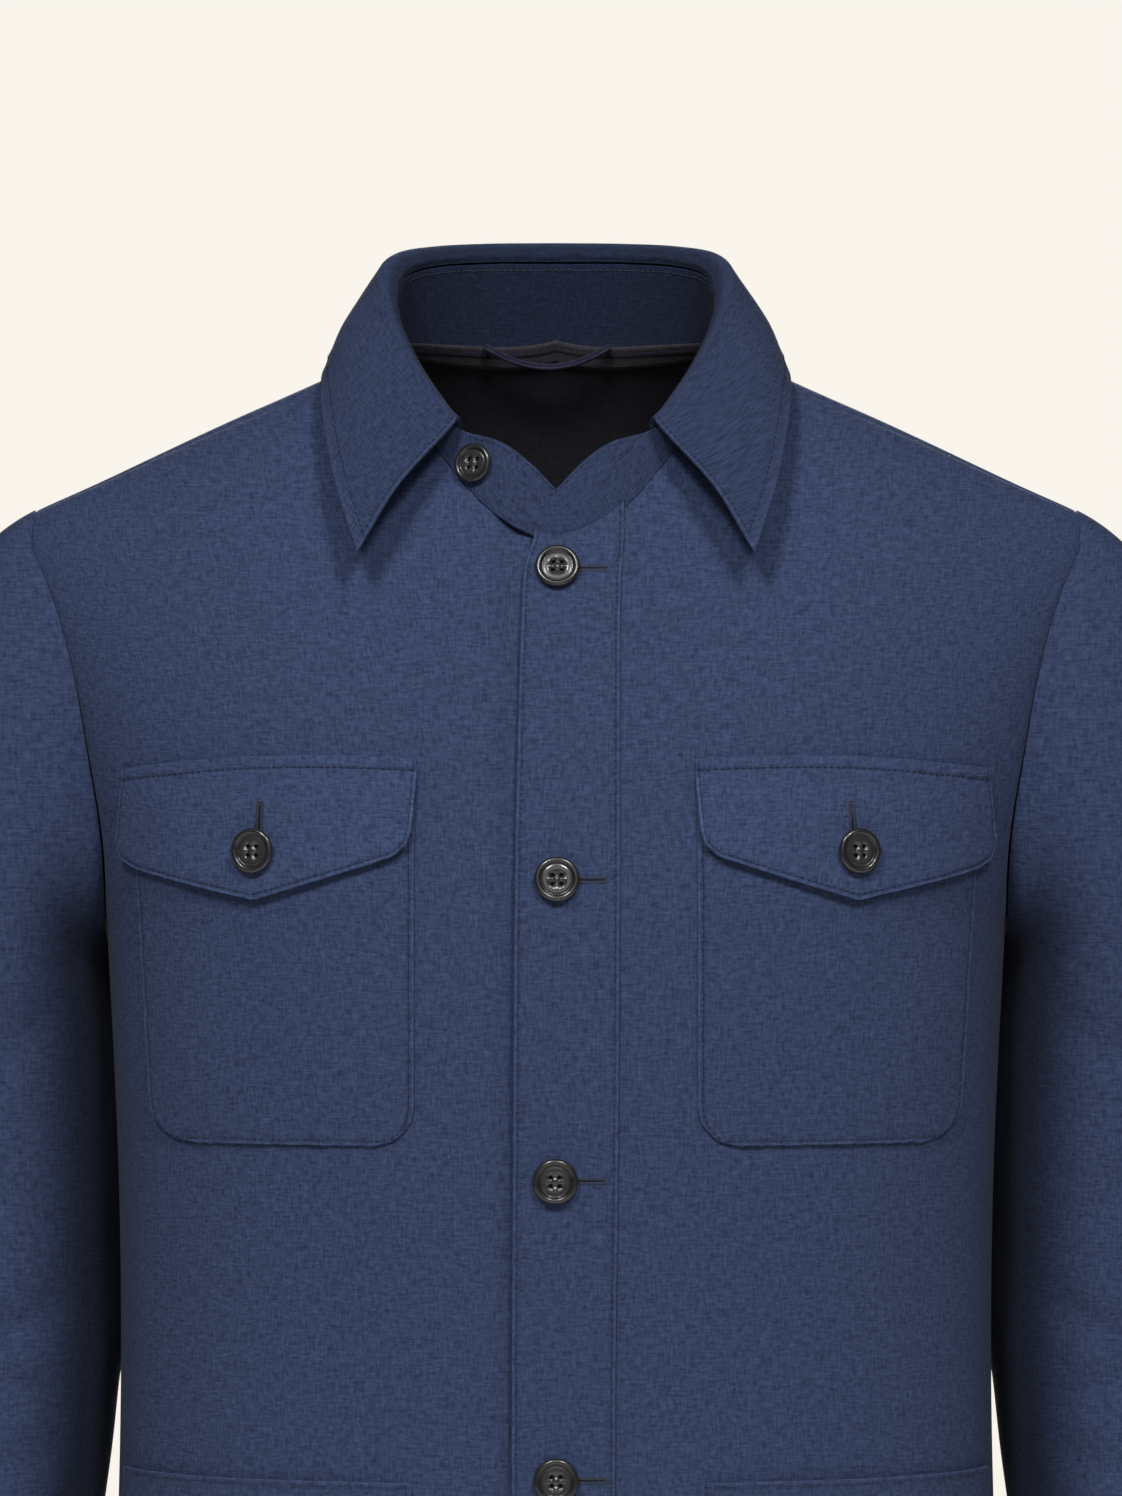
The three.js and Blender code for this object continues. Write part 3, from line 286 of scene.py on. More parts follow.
TORSO = named_rows(
    "z half seam_y front back power",
    (-0.752, 0.2040, 0.002, 0.132, 0.116, 2.30),
    (-0.660, 0.2005, 0.002, 0.129, 0.113, 2.30),
    (-0.580, 0.1975, 0.002, 0.127, 0.109, 2.30),
    (-0.500, 0.1945, 0.003, 0.125, 0.104, 2.30),
    (-0.430, 0.1935, 0.004, 0.126, 0.102, 2.30),
    (-0.360, 0.1945, 0.005, 0.129, 0.105, 2.30),
    (-0.300, 0.1970, 0.006, 0.131, 0.109, 2.35),
    (-0.245, 0.2000, 0.006, 0.130, 0.112, 2.35),
)
SHOULDER = named_rows(
    "x z y",
    (0.000, 0.0340, 0.006),
    (0.040, 0.0250, 0.007),
    (0.072, 0.0115, 0.008),
    (0.102, -0.0030, 0.008),
    (0.150, -0.0245, 0.007),
    (0.202, -0.0490, 0.006),
    (0.233, -0.0630, 0.005),
    (0.262, -0.0770, 0.005),
)
CHEST_BLOCK = named_rows(
    "rise half",
    (0.00, 0.2000),
    (0.20, 0.2085),
    (0.40, 0.2200),
    (0.74, 0.2390),
    (1.00, 0.2520),
)
CHEST_ROLL = named_rows(
    "across front back",
    (0.0, 1.40, 3.0),
    (0.3, 1.55, 2.6),
    (0.6, 1.95, 2.3),
    (1.0, 2.10, 2.1),
)
NECK_HALF = 0.072
NECK_CENTRE_Y = 0.006
NECK_FRONT = 0.080
NECK_BACK = 0.064
ARMHOLE_MIDDLE_Y = 0.012
ARMHOLE_FRONT = 0.058
ARMHOLE_BACK = 0.060
SHOULDER_TIP_X = 0.233
SEAM_FORWARD_NECK = 0.12
SEAM_FORWARD_TIP = 0.04
QUARTER = math.radians(90.0)

# Creases: centre seen from the front or back, slant in degrees, half length and width, depth
BODY_CREASES = named_rows(
    "side x z slant long wide deep",
    ("front", -0.105, -0.415, 84, 0.070, 0.034, -0.0016),
    ("front", 0.112, -0.425, 97, 0.080, 0.036, -0.0018),
    ("back", -0.128, -0.190, 72, 0.080, 0.026, -0.0032),
    ("back", 0.130, -0.195, 106, 0.080, 0.026, -0.0030),
    ("back", -0.070, -0.470, 82, 0.120, 0.032, -0.0036),
    ("back", 0.062, -0.490, 96, 0.130, 0.034, -0.0034),
    ("back", -0.004, -0.560, 91, 0.130, 0.030, 0.0024),
)
UNEVEN_HEIGHT = 0.0007
UNEVEN_SIZE = 0.055


def mix(a, b, t):
    return a + (b - a) * t


def ease(low, high, value):
    t = min(1.0, max(0.0, (value - low) / (high - low)))
    return t * t * (3.0 - 2.0 * t)


def signed_power(value, power):
    return math.copysign(abs(value) ** power, value)


def along(table, key, at, column):
    last = len(table) - 1
    if at <= table[0][key]:
        return table[0][column]
    if at >= table[last][key]:
        return table[last][column]
    i = 0
    while table[i + 1][key] < at:
        i += 1
    step = table[i + 1][key] - table[i][key]
    t = (at - table[i][key]) / step

    def slope(j):
        low = table[max(j - 1, 0)]
        high = table[min(j + 1, last)]
        return (high[column] - low[column]) / (high[key] - low[key])

    t2 = t * t
    t3 = t2 * t
    start = (2 * t3 - 3 * t2 + 1) * table[i][column] + (t3 - 2 * t2 + t) * step * slope(i)
    return start + (3 * t2 - 2 * t3) * table[i + 1][column] + (t3 - t2) * step * slope(i + 1)


def crease_depth(side, x, z):
    depth = 0.0
    for crease in BODY_CREASES:
        if crease["side"] != side:
            continue
        turn = math.radians(crease["slant"])
        dx = x - crease["x"]
        dz = z - crease["z"]
        lengthwise = (dx * math.cos(turn) + dz * math.sin(turn)) / crease["long"]
        across = (dz * math.cos(turn) - dx * math.sin(turn)) / crease["wide"]
        distance = lengthwise * lengthwise + across * across
        if distance < 9.0:
            depth += crease["deep"] * math.exp(-distance)
    return depth


def uneven(x, y, z):
    return UNEVEN_HEIGHT * noise.noise(Vector((x, y, z)) / UNEVEN_SIZE)


def skin(side, phi, level):
    if level > 1.0:
        return skin("back" if side == "front" else "front", phi, 2.0 - level)
    sign = -1.0 if side == "front" else 1.0
    if level <= 0.0:
        z = ARMPIT_Z + level * (ARMPIT_Z - HEM_Z)
        power = along(TORSO, "z", z, "power")
        x = along(TORSO, "z", z, "half") * signed_power(math.sin(phi), 2.0 / power)
        depth = along(TORSO, "z", z, side) * max(0.0, math.cos(phi)) ** (2.0 / power)
        y = along(TORSO, "z", z, "seam_y") + sign * depth
    else:
        top = TORSO[-1]
        across = signed_power(math.sin(phi), 2.0 / top["power"])
        deep = max(0.0, math.cos(phi)) ** (2.0 / top["power"])
        roll = along(CHEST_ROLL, "across", abs(across), side)
        theta = level * QUARTER
        rise = math.sin(theta) ** (2.0 / roll)
        stay = max(0.0, math.cos(theta)) ** (2.0 / roll)
        x = along(CHEST_BLOCK, "rise", rise, "half") * across
        ridge_z = along(SHOULDER, "x", abs(x), "z")
        ridge_y = along(SHOULDER, "x", abs(x), "y")
        y = mix(ridge_y, top["seam_y"] + sign * top[side] * deep, stay)
        z = mix(ARMPIT_Z, ridge_z, rise)
    fade = ease(0.0, 0.25, math.cos(phi)) * ease(0.0, 0.25, 1.0 - level)
    y += sign * fade * (crease_depth(side, x, z) + uneven(x, y, z))
    return Vector((x, y, z))


def skin_normal(side, phi, level):
    limit = math.radians(89.0)
    near = max(-limit, min(limit, phi))
    step = 0.002
    across = skin(side, near + step, level) - skin(side, near - step, level)
    up = skin(side, phi, level + step) - skin(side, phi, level - step)
    normal = across.cross(up).normalized()
    return -normal if side == "back" else normal


def locate(side, x, z):
    sign = math.copysign(1.0, x)
    if z <= ARMPIT_Z:
        power = along(TORSO, "z", z, "power")
        across = min(1.0, abs(x) / along(TORSO, "z", z, "half"))
        return sign * math.asin(across ** (power / 2.0)), (z - ARMPIT_Z) / (ARMPIT_Z - HEM_Z)
    ridge_z = along(SHOULDER, "x", abs(x), "z")
    rise = min(1.0, (z - ARMPIT_Z) / (ridge_z - ARMPIT_Z))
    across = min(1.0, abs(x) / along(CHEST_BLOCK, "rise", rise, "half"))
    roll = along(CHEST_ROLL, "across", across, side)
    phi = sign * math.asin(across ** (TORSO[-1]["power"] / 2.0))
    return phi, math.asin(rise ** (roll / 2.0)) / QUARTER


def solve(low, high, height):
    for _ in range(34):
        middle = (low + high) / 2.0
        if height(middle) > 0.0:
            low = middle
        else:
            high = middle
    return (low + high) / 2.0


@functools.lru_cache(maxsize=None)
def neck_place(side, turn):
    reach = NECK_FRONT if side == "front" else NECK_BACK
    x = NECK_HALF * math.cos(turn)
    depth = reach * math.sin(turn)
    ridge_z = along(SHOULDER, "x", abs(x), "z")

    def excess(z):
        return abs(skin(side, *locate(side, x, z)).y - NECK_CENTRE_Y) - depth

    return locate(side, x, solve(ARMPIT_Z + 0.001, ridge_z, excess))


@functools.lru_cache(maxsize=None)
def armhole_place(side, turn):
    tip_z = along(SHOULDER, "x", SHOULDER_TIP_X, "z")
    z = ARMPIT_Z + (tip_z - ARMPIT_Z) / 2.0 * (1.0 + math.cos(turn))
    sign = -1.0 if side == "front" else 1.0
    reach = ARMHOLE_FRONT if side == "front" else ARMHOLE_BACK
    power = 1.3 if turn < QUARTER else 0.78
    middle_y = mix(TORSO[-1]["seam_y"], ARMHOLE_MIDDLE_Y, math.sin(turn))
    y = middle_y + sign * reach * max(0.0, math.sin(turn)) ** power

    def excess(x):
        return sign * (skin(side, *locate(side, x, z)).y - y)

    return locate(side, solve(0.120, SHOULDER_TIP_X, excess), z)


# Back and fronts
# The back is one piece from shoulder to hem. Each front runs from its closing edge to the
# side seam. They are cut flat, sewn at the sides and shoulders, and hemmed at the bottom.

CLOTH = 0.0013
LOWER_SHARE = 0.66
NECK_SHARE = 0.40
PANEL_ROWS = 156
FRONT_COLUMNS = 84
BACK_COLUMNS = 112
LEFT_EDGE_X = -0.0167
RIGHT_EDGE_X = 0.019
UNDERLAP_SINK = 0.0036
SEAM_SINK = 0.0008
SEAM_REACH = 0.0022
HEM_STITCH = 0.022
PANEL_HEIGHT = 0.75
FRONT_WIDTH = 0.27
SIDE_PAINTED_SHADE = 0.70
GROOVE = 0.00035
GROOVE_WIDTH = 0.0011

side_neck_turn = solve(
    0.0, math.radians(60.0), lambda turn: neck_place("front", turn)[1] - (1.0 - SEAM_FORWARD_NECK)
)
side_neck = neck_place("front", side_neck_turn)
tip_turn = solve(
    0.0, math.radians(60.0), lambda turn: armhole_place("front", turn)[1] - (1.0 - SEAM_FORWARD_TIP)
)
shoulder_tip = armhole_place("front", tip_turn)


def seen_from(owner, phi, level):
    return (phi, level) if owner == "front" else (phi, 2.0 - level)


@functools.lru_cache(maxsize=None)
def top_edge(owner, u, centre_turn):
    if u < NECK_SHARE:
        t = u / NECK_SHARE
        if owner == "front":
            return neck_place("front", mix(centre_turn, side_neck_turn, t))
        turn = mix(centre_turn, -side_neck_turn, t)
        return neck_place("back", turn) if turn >= 0.0 else seen_from("back", *neck_place("front", -turn))
    t = (u - NECK_SHARE) / (1.0 - NECK_SHARE)
    phi = mix(side_neck[0], shoulder_tip[0], t)
    x = skin("front", phi, 1.0).x
    forward = mix(SEAM_FORWARD_NECK, SEAM_FORWARD_TIP, ease(NECK_HALF, SHOULDER_TIP_X, x))
    level = (1.0 - forward + mix(side_neck[1], shoulder_tip[1], t)) / 2.0
    return seen_from(owner, phi, level)


@functools.lru_cache(maxsize=None)
def arm_edge(owner, t):
    turn = mix(math.pi, tip_turn if owner == "front" else -tip_turn, t)
    if turn < 0.0:
        return seen_from("back", *armhole_place("front", -turn))
    return armhole_place(owner, turn)


@functools.lru_cache(maxsize=None)
def centre_phi(owner, centre_x, level):
    return locate(owner, centre_x, ARMPIT_Z + min(0.0, level) * (ARMPIT_Z - HEM_Z))[0]


def panel_place(owner, u, t, centre_x, centre_turn):
    if t < LOWER_SHARE:
        level = t / LOWER_SHARE - 1.0
        return mix(centre_phi(owner, centre_x, level), QUARTER, u), level
    s = (t - LOWER_SHARE) / (1.0 - LOWER_SHARE)
    start = centre_phi(owner, centre_x, 0.0)
    top_left = top_edge(owner, 0.0, centre_turn)
    top_right = arm_edge(owner, 1.0)
    top = top_edge(owner, u, centre_turn)
    right = arm_edge(owner, s)
    place = []
    for k, (low_left, low_right) in enumerate(((start, QUARTER), (0.0, 0.0))):
        sides = mix(mix(low_left, top_left[k], s), right[k], u)
        ends = mix(mix(low_left, low_right, u), top[k], s)
        corners = mix(mix(low_left, low_right, u), mix(top_left[k], top_right[k], u), s)
        place.append(sides + ends - corners)
    return place[0], place[1]


def groove(distance, line):
    return -GROOVE * math.exp(-(((distance - line) / GROOVE_WIDTH) ** 2))


def panel_lift(u, t):
    to_side = (1.0 - u) * FRONT_WIDTH
    to_top = (1.0 - t) * PANEL_HEIGHT
    lift = -SEAM_SINK * (math.exp(-to_side / SEAM_REACH) + math.exp(-to_top / SEAM_REACH))
    return lift + groove(t * PANEL_HEIGHT, HEM_STITCH)


# Painted shade: the cloth is darkened towards the side seams, fading out above the armpits, standing in for
# the shade on the sides of the body.
def side_painted_shade(u, t):
    return mix(1.0, SIDE_PAINTED_SHADE, ease(0.74, 1.0, u) * ease(0.80, 0.60, t))


def on_skin(owner, phi, level, lift):
    point = skin(owner, phi, level)
    if abs(lift) > 0.00002:
        point += skin_normal(owner, phi, level) * lift
    return point


def cloth_sheet(name, across, up, shape, inner, thick=CLOTH, ring=False, material=LINEN,
                edge=0.0004, tone=None, grain=None, inside=None, bunch=(0.0, 0.0)):
    bm = bmesh.new()
    threads = bm.loops.layers.uv.new("threads")
    shade = bm.verts.layers.float.new("tone")
    bmesh.ops.create_grid(bm, x_segments=across, y_segments=up, size=0.5)
    columns = sorted({round(v.co.x, 5) for v in bm.verts})
    rows = sorted({round(v.co.y, 5) for v in bm.verts})
    column_of = {x: i for i, x in enumerate(columns)}
    row_of = {y: j for j, y in enumerate(rows)}
    spot = {}
    for v in bm.verts:
        i = column_of[round(v.co.x, 5)]
        j = row_of[round(v.co.y, 5)]
        u = i / (len(columns) - 1)
        t = j / (len(rows) - 1)
        u = mix(u, ease(0.0, 1.0, u), bunch[0])
        t = mix(t, ease(0.0, 1.0, t), bunch[1])
        v.co = shape(u, t)
        v[shade] = tone(u, t) if tone else 1.0
        spot[v.index] = (i, j)
    where = {spot[v.index]: v.co.copy() for v in bm.verts}
    u_of = {}
    v_of = {}
    for j in range(len(rows)):
        reach = 0.0
        for i in range(len(columns)):
            if i:
                reach += (where[i, j] - where[i - 1, j]).length
            u_of[i, j] = reach
    for i in range(len(columns)):
        reach = 0.0
        for j in range(len(rows)):
            if j:
                reach += (where[i, j] - where[i, j - 1]).length
            v_of[i, j] = reach
    facing = 0.0
    bm.normal_update()
    for face in bm.faces:
        facing += face.normal.dot(face.calc_center_median() - inner) * face.calc_area()
        for loop in face.loops:
            key = spot[loop.vert.index]
            loop[threads].uv = grain(loop.vert.co) if grain else (u_of[key], v_of[key])
    if facing < 0.0:
        bmesh.ops.reverse_faces(bm, faces=bm.faces)
    if ring:
        bmesh.ops.remove_doubles(bm, verts=bm.verts, dist=0.00001)
    for face in bm.faces:
        face.smooth = True
    data = bpy.data.meshes.new(name)
    bm.to_mesh(data)
    bm.free()
    piece = bpy.data.objects.new(name, data)
    bpy.context.scene.collection.objects.link(piece)
    data.materials.append(material)
    wall = piece.modifiers.new("cloth_thickness", "SOLIDIFY")
    wall.thickness = thick
    wall.offset = -1.0
    if inside:
        data.materials.append(inside)
        wall.material_offset = 1
    if edge:
        rounding = piece.modifiers.new("turned_edge", "BEVEL")
        rounding.width = edge
        rounding.segments = 2
        rounding.limit_method = "ANGLE"
        rounding.angle_limit = math.radians(50.0)
    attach(piece, "root")
    return piece


BODY_MIDDLE = Vector((0.0, 0.0, -0.4))
GRAIN_STEPS = 120
GRAIN_X = 0.1
GRAIN_TOP = -0.004


def arc_table(points):
    reach = [0.0]
    for a, b in zip(points, points[1:]):
        reach.append(reach[-1] + (b - a).length)
    return reach


def read_table(values, t):
    place = min(max(t, 0.0), 1.0) * (len(values) - 1)
    i = min(int(place), len(values) - 2)
    return mix(values[i], values[i + 1], place - i)


AROUND = arc_table([
    skin("front", *locate("front", ARMPIT_HALF * math.sin(QUARTER * i / GRAIN_STEPS), ARMPIT_Z))
    for i in range(GRAIN_STEPS + 1)
])
UPWARD = {
    side: arc_table([
        skin(side, *locate(side, GRAIN_X, mix(HEM_Z, GRAIN_TOP, i / GRAIN_STEPS)))
        for i in range(GRAIN_STEPS + 1)
    ])
    for side in ("front", "back")
}


def straight_grain(side, shift=0.0):
    def grain(point):
        if point.z <= ARMPIT_Z:
            half = along(TORSO, "z", point.z, "half")
        else:
            half = along(CHEST_BLOCK, "rise", (point.z - ARMPIT_Z) / -ARMPIT_Z, "half")
        turn = math.asin(min(1.0, abs(point.x) / half)) / QUARTER
        around = math.copysign(read_table(AROUND, turn), point.x)
        upward = read_table(UPWARD[side], (point.z - HEM_Z) / (GRAIN_TOP - HEM_Z))
        upward += max(0.0, point.z - GRAIN_TOP)
        return around + shift, upward + shift * 1.7
    return grain


STITCH_PITCH = 0.0030
STITCH_LENGTH = 0.0022
STITCH_RADIUS = 0.00028
ROW_SAMPLES = 150
SLOPE_STEP = 0.003


def outward_at(shape, u, t, inner):
    across = shape(min(1.0, u + SLOPE_STEP), t) - shape(max(0.0, u - SLOPE_STEP), t)
    up = shape(u, min(1.0, t + SLOPE_STEP)) - shape(u, max(0.0, t - SLOPE_STEP))
    normal = across.cross(up).normalized()
    return -normal if normal.dot(shape(u, t) - inner) < 0.0 else normal


def sew_row(bm, shape, path, inner, pitch=STITCH_PITCH, length=STITCH_LENGTH,
            radius=STITCH_RADIUS, lift=0.0):
    reach = arc_table([shape(*path(i / ROW_SAMPLES)) for i in range(ROW_SAMPLES + 1)])

    def share_at(distance):
        i = 0
        while i < ROW_SAMPLES - 1 and reach[i + 1] < distance:
            i += 1
        step = max(reach[i + 1] - reach[i], 1e-9)
        return min(1.0, (i + (distance - reach[i]) / step) / ROW_SAMPLES)

    for k in range(int(reach[-1] / pitch)):
        start = (k + 0.5) * pitch - length / 2.0
        low = share_at(start)
        high = share_at(start + length)
        a = shape(*path(low))
        b = shape(*path(high))
        ahead = (b - a).normalized()
        normal = outward_at(shape, *path((low + high) / 2.0), inner)
        side = ahead.cross(normal).normalized()
        turned = Matrix((side, ahead.cross(side), ahead)).transposed().to_4x4()
        size = Matrix.Diagonal((radius, radius * 0.8, (b - a).length / 2.0, 1.0))
        place = Matrix.Translation((a + b) / 2.0 + normal * lift)
        bmesh.ops.create_uvsphere(bm, u_segments=6, v_segments=5, radius=1.0, matrix=place @ turned @ size)


def sewn_piece(name, bm, material=THREAD):
    for face in bm.faces:
        face.smooth = True
    data = bpy.data.meshes.new(name)
    bm.to_mesh(data)
    bm.free()
    piece = bpy.data.objects.new(name, data)
    bpy.context.scene.collection.objects.link(piece)
    data.materials.append(material)
    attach(piece, "root")
    return piece


left_turn = QUARTER + math.asin(0.007 / NECK_HALF)
right_turn = QUARTER + math.asin(RIGHT_EDGE_X / NECK_HALF)


def left_front(u, t):
    phi, level = panel_place("front", u, t, LEFT_EDGE_X, left_turn)
    return on_skin("front", phi, level, panel_lift(u, t))


def right_front(u, t):
    phi, level = panel_place("front", u, t, -RIGHT_EDGE_X, right_turn)
    x = -skin("front", -phi, level).x
    sink = UNDERLAP_SINK * ease(-0.0275, -0.0200, -x)
    return on_skin("front", -phi, level, panel_lift(u, t) - sink)


def whole_back(u, t):
    across = abs(2.0 * u - 1.0)
    phi, level = panel_place("back", across, t, 0.0, QUARTER)
    side = math.copysign(1.0, u - 0.5)
    return on_skin("back", side * phi, level, panel_lift(across, t))


front_left = cloth_sheet(
    "linen_front_left", FRONT_COLUMNS, PANEL_ROWS, left_front, BODY_MIDDLE, tone=side_painted_shade,
    grain=straight_grain("front")
)
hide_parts("front_left")

front_right = cloth_sheet(
    "linen_front_right", FRONT_COLUMNS, PANEL_ROWS, right_front, BODY_MIDDLE, tone=side_painted_shade,
    grain=straight_grain("front")
)
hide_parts("front_right")

back = cloth_sheet(
    "linen_back", BACK_COLUMNS, PANEL_ROWS, whole_back, BODY_MIDDLE,
    tone=lambda u, t: side_painted_shade(abs(2.0 * u - 1.0), t), grain=straight_grain("back")
)
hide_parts("back")

hem_thread = bmesh.new()
for panel in (left_front, right_front, whole_back):
    sew_row(hem_thread, panel, lambda s: (s, HEM_STITCH / PANEL_HEIGHT), BODY_MIDDLE)
sewn_piece("hem_stitches", hem_thread)

# Placket
# A folded band of the same linen is sewn along the wearer's left front edge, with a row
# of stitches close to each side. It carries the buttonholes and laps over the right front.

LAY_GAP = 0.0003
PLACKET_THICK = 0.0016
PLACKET_WIDTH = 0.0445
PLACKET_EDGES = named_rows(
    "z left right",
    (-0.752, -0.0190, 0.0250),
    (-0.600, -0.0190, 0.0252),
    (-0.450, -0.0188, 0.0254),
    (-0.340, -0.0182, 0.0266),
    (-0.225, -0.0174, 0.0274),
    (-0.170, -0.0164, 0.0275),
    (-0.112, -0.0148, 0.0278),
    (-0.090, -0.0135, 0.0285),
    (-0.077, -0.0095, 0.0295),
)
EDGE_STITCH = 0.0018
PLACKET_COLUMNS = 24
PLACKET_ROWS = 320
PUCKER_HEIGHT = 0.0006
PUCKER_LENGTH = 0.0042
PUCKER_REACH = 0.0032
TURNED_EDGE = 0.0007
EDGE_PAINTED_HIGHLIGHT = 0.35
SEAM_SHADE = 0.30
SEAM_SHADE_WIDTH = 0.0007
SLIT_SHADE_BLACK = (0.006, 0.008, 0.014, 1.0)
HOLE_SLATE = (0.046, 0.056, 0.078, 1.0)
HOLE_BAR_PITCH = 0.0007
HOLE_BAR_LENGTH = 0.0015
HOLE_BAR_RADIUS = 0.00032
SLIT_HALF_WIDTH = 0.00032
HOLE_WANDER = 0.0002
BAR_LIFT = 0.0001
PLACKET_HOLE_START = -0.004
PLACKET_HOLE_END = 0.0215
PLACKET_CREASE = {"z": -0.128, "slope": 0.5, "tall": 0.006, "deep": 0.0009}
PLACKET_BUTTONS = (
    (0.0008, -0.0905), (0.0004, -0.225), (-0.0003, -0.354), (0.0001, -0.483), (0.0001, -0.612),
)

HOLE_THREAD = plain_material("buttonhole_thread", HOLE_SLATE, 0.65, 0.25)
# Painted shade: the buttonhole's cut is a near-black strip laid on the cloth, standing in for the shade
# inside the opening.
SLIT = plain_material("buttonhole_slit_shade", SLIT_SHADE_BLACK, 0.9, 0.1)


def pucker(run, distance, seed):
    ripple = noise.noise(Vector((run / PUCKER_LENGTH, seed, distance / (2.0 * PUCKER_REACH))))
    return PUCKER_HEIGHT * ripple * math.exp(-((distance / PUCKER_REACH) ** 2))


# Painted highlight: the cloth is lighter along its turned edges, standing in for the light the rounded fold
# catches; painted shade darkens the stitch line.
def edge_highlight_and_seam_shade(to_edge, stitch=EDGE_STITCH):
    seam = math.exp(-(((to_edge - stitch) / SEAM_SHADE_WIDTH) ** 2))
    return 1.0 + EDGE_PAINTED_HIGHLIGHT * math.exp(-to_edge / TURNED_EDGE) - SEAM_SHADE * seam


def buttonhole(name, surface, x, z, low, high, upright):
    bars = bmesh.new()
    slit = bmesh.new()

    def spot(lengthwise, sideways, lift):
        if upright:
            return surface(x + sideways, z + lengthwise, lift + LAY_GAP + PLACKET_THICK)
        return surface(x + lengthwise, z + sideways, lift + LAY_GAP + PLACKET_THICK)

    def bar(bm, a, b, radius, flat):
        ahead = (b - a).normalized()
        normal = (spot(low, 0.0, 0.01) - spot(low, 0.0, 0.0)).normalized()
        side = ahead.cross(normal).normalized()
        turned = Matrix((side, ahead.cross(side), ahead)).transposed().to_4x4()
        size = Matrix.Diagonal((radius, flat, (b - a).length / 2.0, 1.0))
        bmesh.ops.create_uvsphere(bm, u_segments=8, v_segments=6, radius=1.0,
                                  matrix=Matrix.Translation((a + b) / 2.0) @ turned @ size)

    for k in range(int((high - low) / HOLE_BAR_PITCH) + 1):
        run = low + k * HOLE_BAR_PITCH
        for sign in (-1.0, 1.0):
            wander = HOLE_WANDER * noise.noise(Vector((run * 900.0, sign * 3.0, x * 50.0 + z * 70.0)))
            start = sign * SLIT_HALF_WIDTH * 0.6
            far = start + sign * (HOLE_BAR_LENGTH + wander)
            bar(bars, spot(run, start, 2.0 * BAR_LIFT), spot(run + wander, far, BAR_LIFT),
                HOLE_BAR_RADIUS, HOLE_BAR_RADIUS)
    for end in (low - HOLE_BAR_PITCH, high + HOLE_BAR_PITCH):
        bar(bars, spot(end, -HOLE_BAR_LENGTH, BAR_LIFT), spot(end, HOLE_BAR_LENGTH, BAR_LIFT),
            HOLE_BAR_RADIUS * 1.3, HOLE_BAR_RADIUS)
    # The slit strip is painted shade for the opening of the cut.
    bar(slit, spot(low, 0.0, 0.00005), spot(high, 0.0, 0.00005), SLIT_HALF_WIDTH, HOLE_BAR_RADIUS)
    sewn_piece(name + "_thread", bars, HOLE_THREAD)
    sewn_piece(name + "_slit", slit, SLIT)


def laid_on_front(x, z, lift):
    phi, level = locate("front", x, z)
    return skin("front", phi, level) + skin_normal("front", phi, level) * lift


@functools.lru_cache(maxsize=None)
def placket_top(u):
    top = PLACKET_EDGES[-1]
    turn = math.acos(mix(top["left"], top["right"], u) / NECK_HALF)
    return skin("front", *neck_place("front", turn)).z


def placket_spot(u, t):
    z = mix(HEM_Z, placket_top(round(u, 4)), t)
    left = along(PLACKET_EDGES, "z", z, "left")
    right = along(PLACKET_EDGES, "z", z, "right")
    return mix(left, right, u), z, right - left


def placket_shape(u, t):
    x, z, width = placket_spot(u, t)
    to_edge = min(u, 1.0 - u) * width
    lift = LAY_GAP + PLACKET_THICK + groove(to_edge, EDGE_STITCH) + pucker(z, to_edge, round(u) * 7.0)
    up = (z - PLACKET_CREASE["z"] - PLACKET_CREASE["slope"] * x) / PLACKET_CREASE["tall"]
    crease = PLACKET_CREASE["deep"] * math.exp(-(up ** 2)) * ease(0.001, 0.012, to_edge)
    return laid_on_front(x, z, lift - crease)


# Painted highlight along the placket's edges and painted shade along its stitch lines.
def placket_tone(u, t):
    return edge_highlight_and_seam_shade(min(u, 1.0 - u) * PLACKET_WIDTH)


placket = cloth_sheet("linen_placket", PLACKET_COLUMNS, PLACKET_ROWS, placket_shape, BODY_MIDDLE,
                      thick=PLACKET_THICK, tone=placket_tone, grain=straight_grain("front", 0.31),
                      bunch=(0.8, 0.0))
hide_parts("placket")

placket_thread = bmesh.new()
for column in (EDGE_STITCH / PLACKET_WIDTH, 1.0 - EDGE_STITCH / PLACKET_WIDTH):
    sew_row(placket_thread, placket_shape, lambda s: (column, s), BODY_MIDDLE)
sewn_piece("placket_stitches", placket_thread)
for number, (x, z) in enumerate(PLACKET_BUTTONS, 1):
    buttonhole(f"buttonhole_{number}", laid_on_front, x, z, PLACKET_HOLE_START, PLACKET_HOLE_END, False)

# Patch pockets and flaps
# Each pocket is cut in one piece, its edges are turned in and it is edge stitched to the
# front. The two chest flaps are double cloth, sewn on above the pockets and buttoned down.

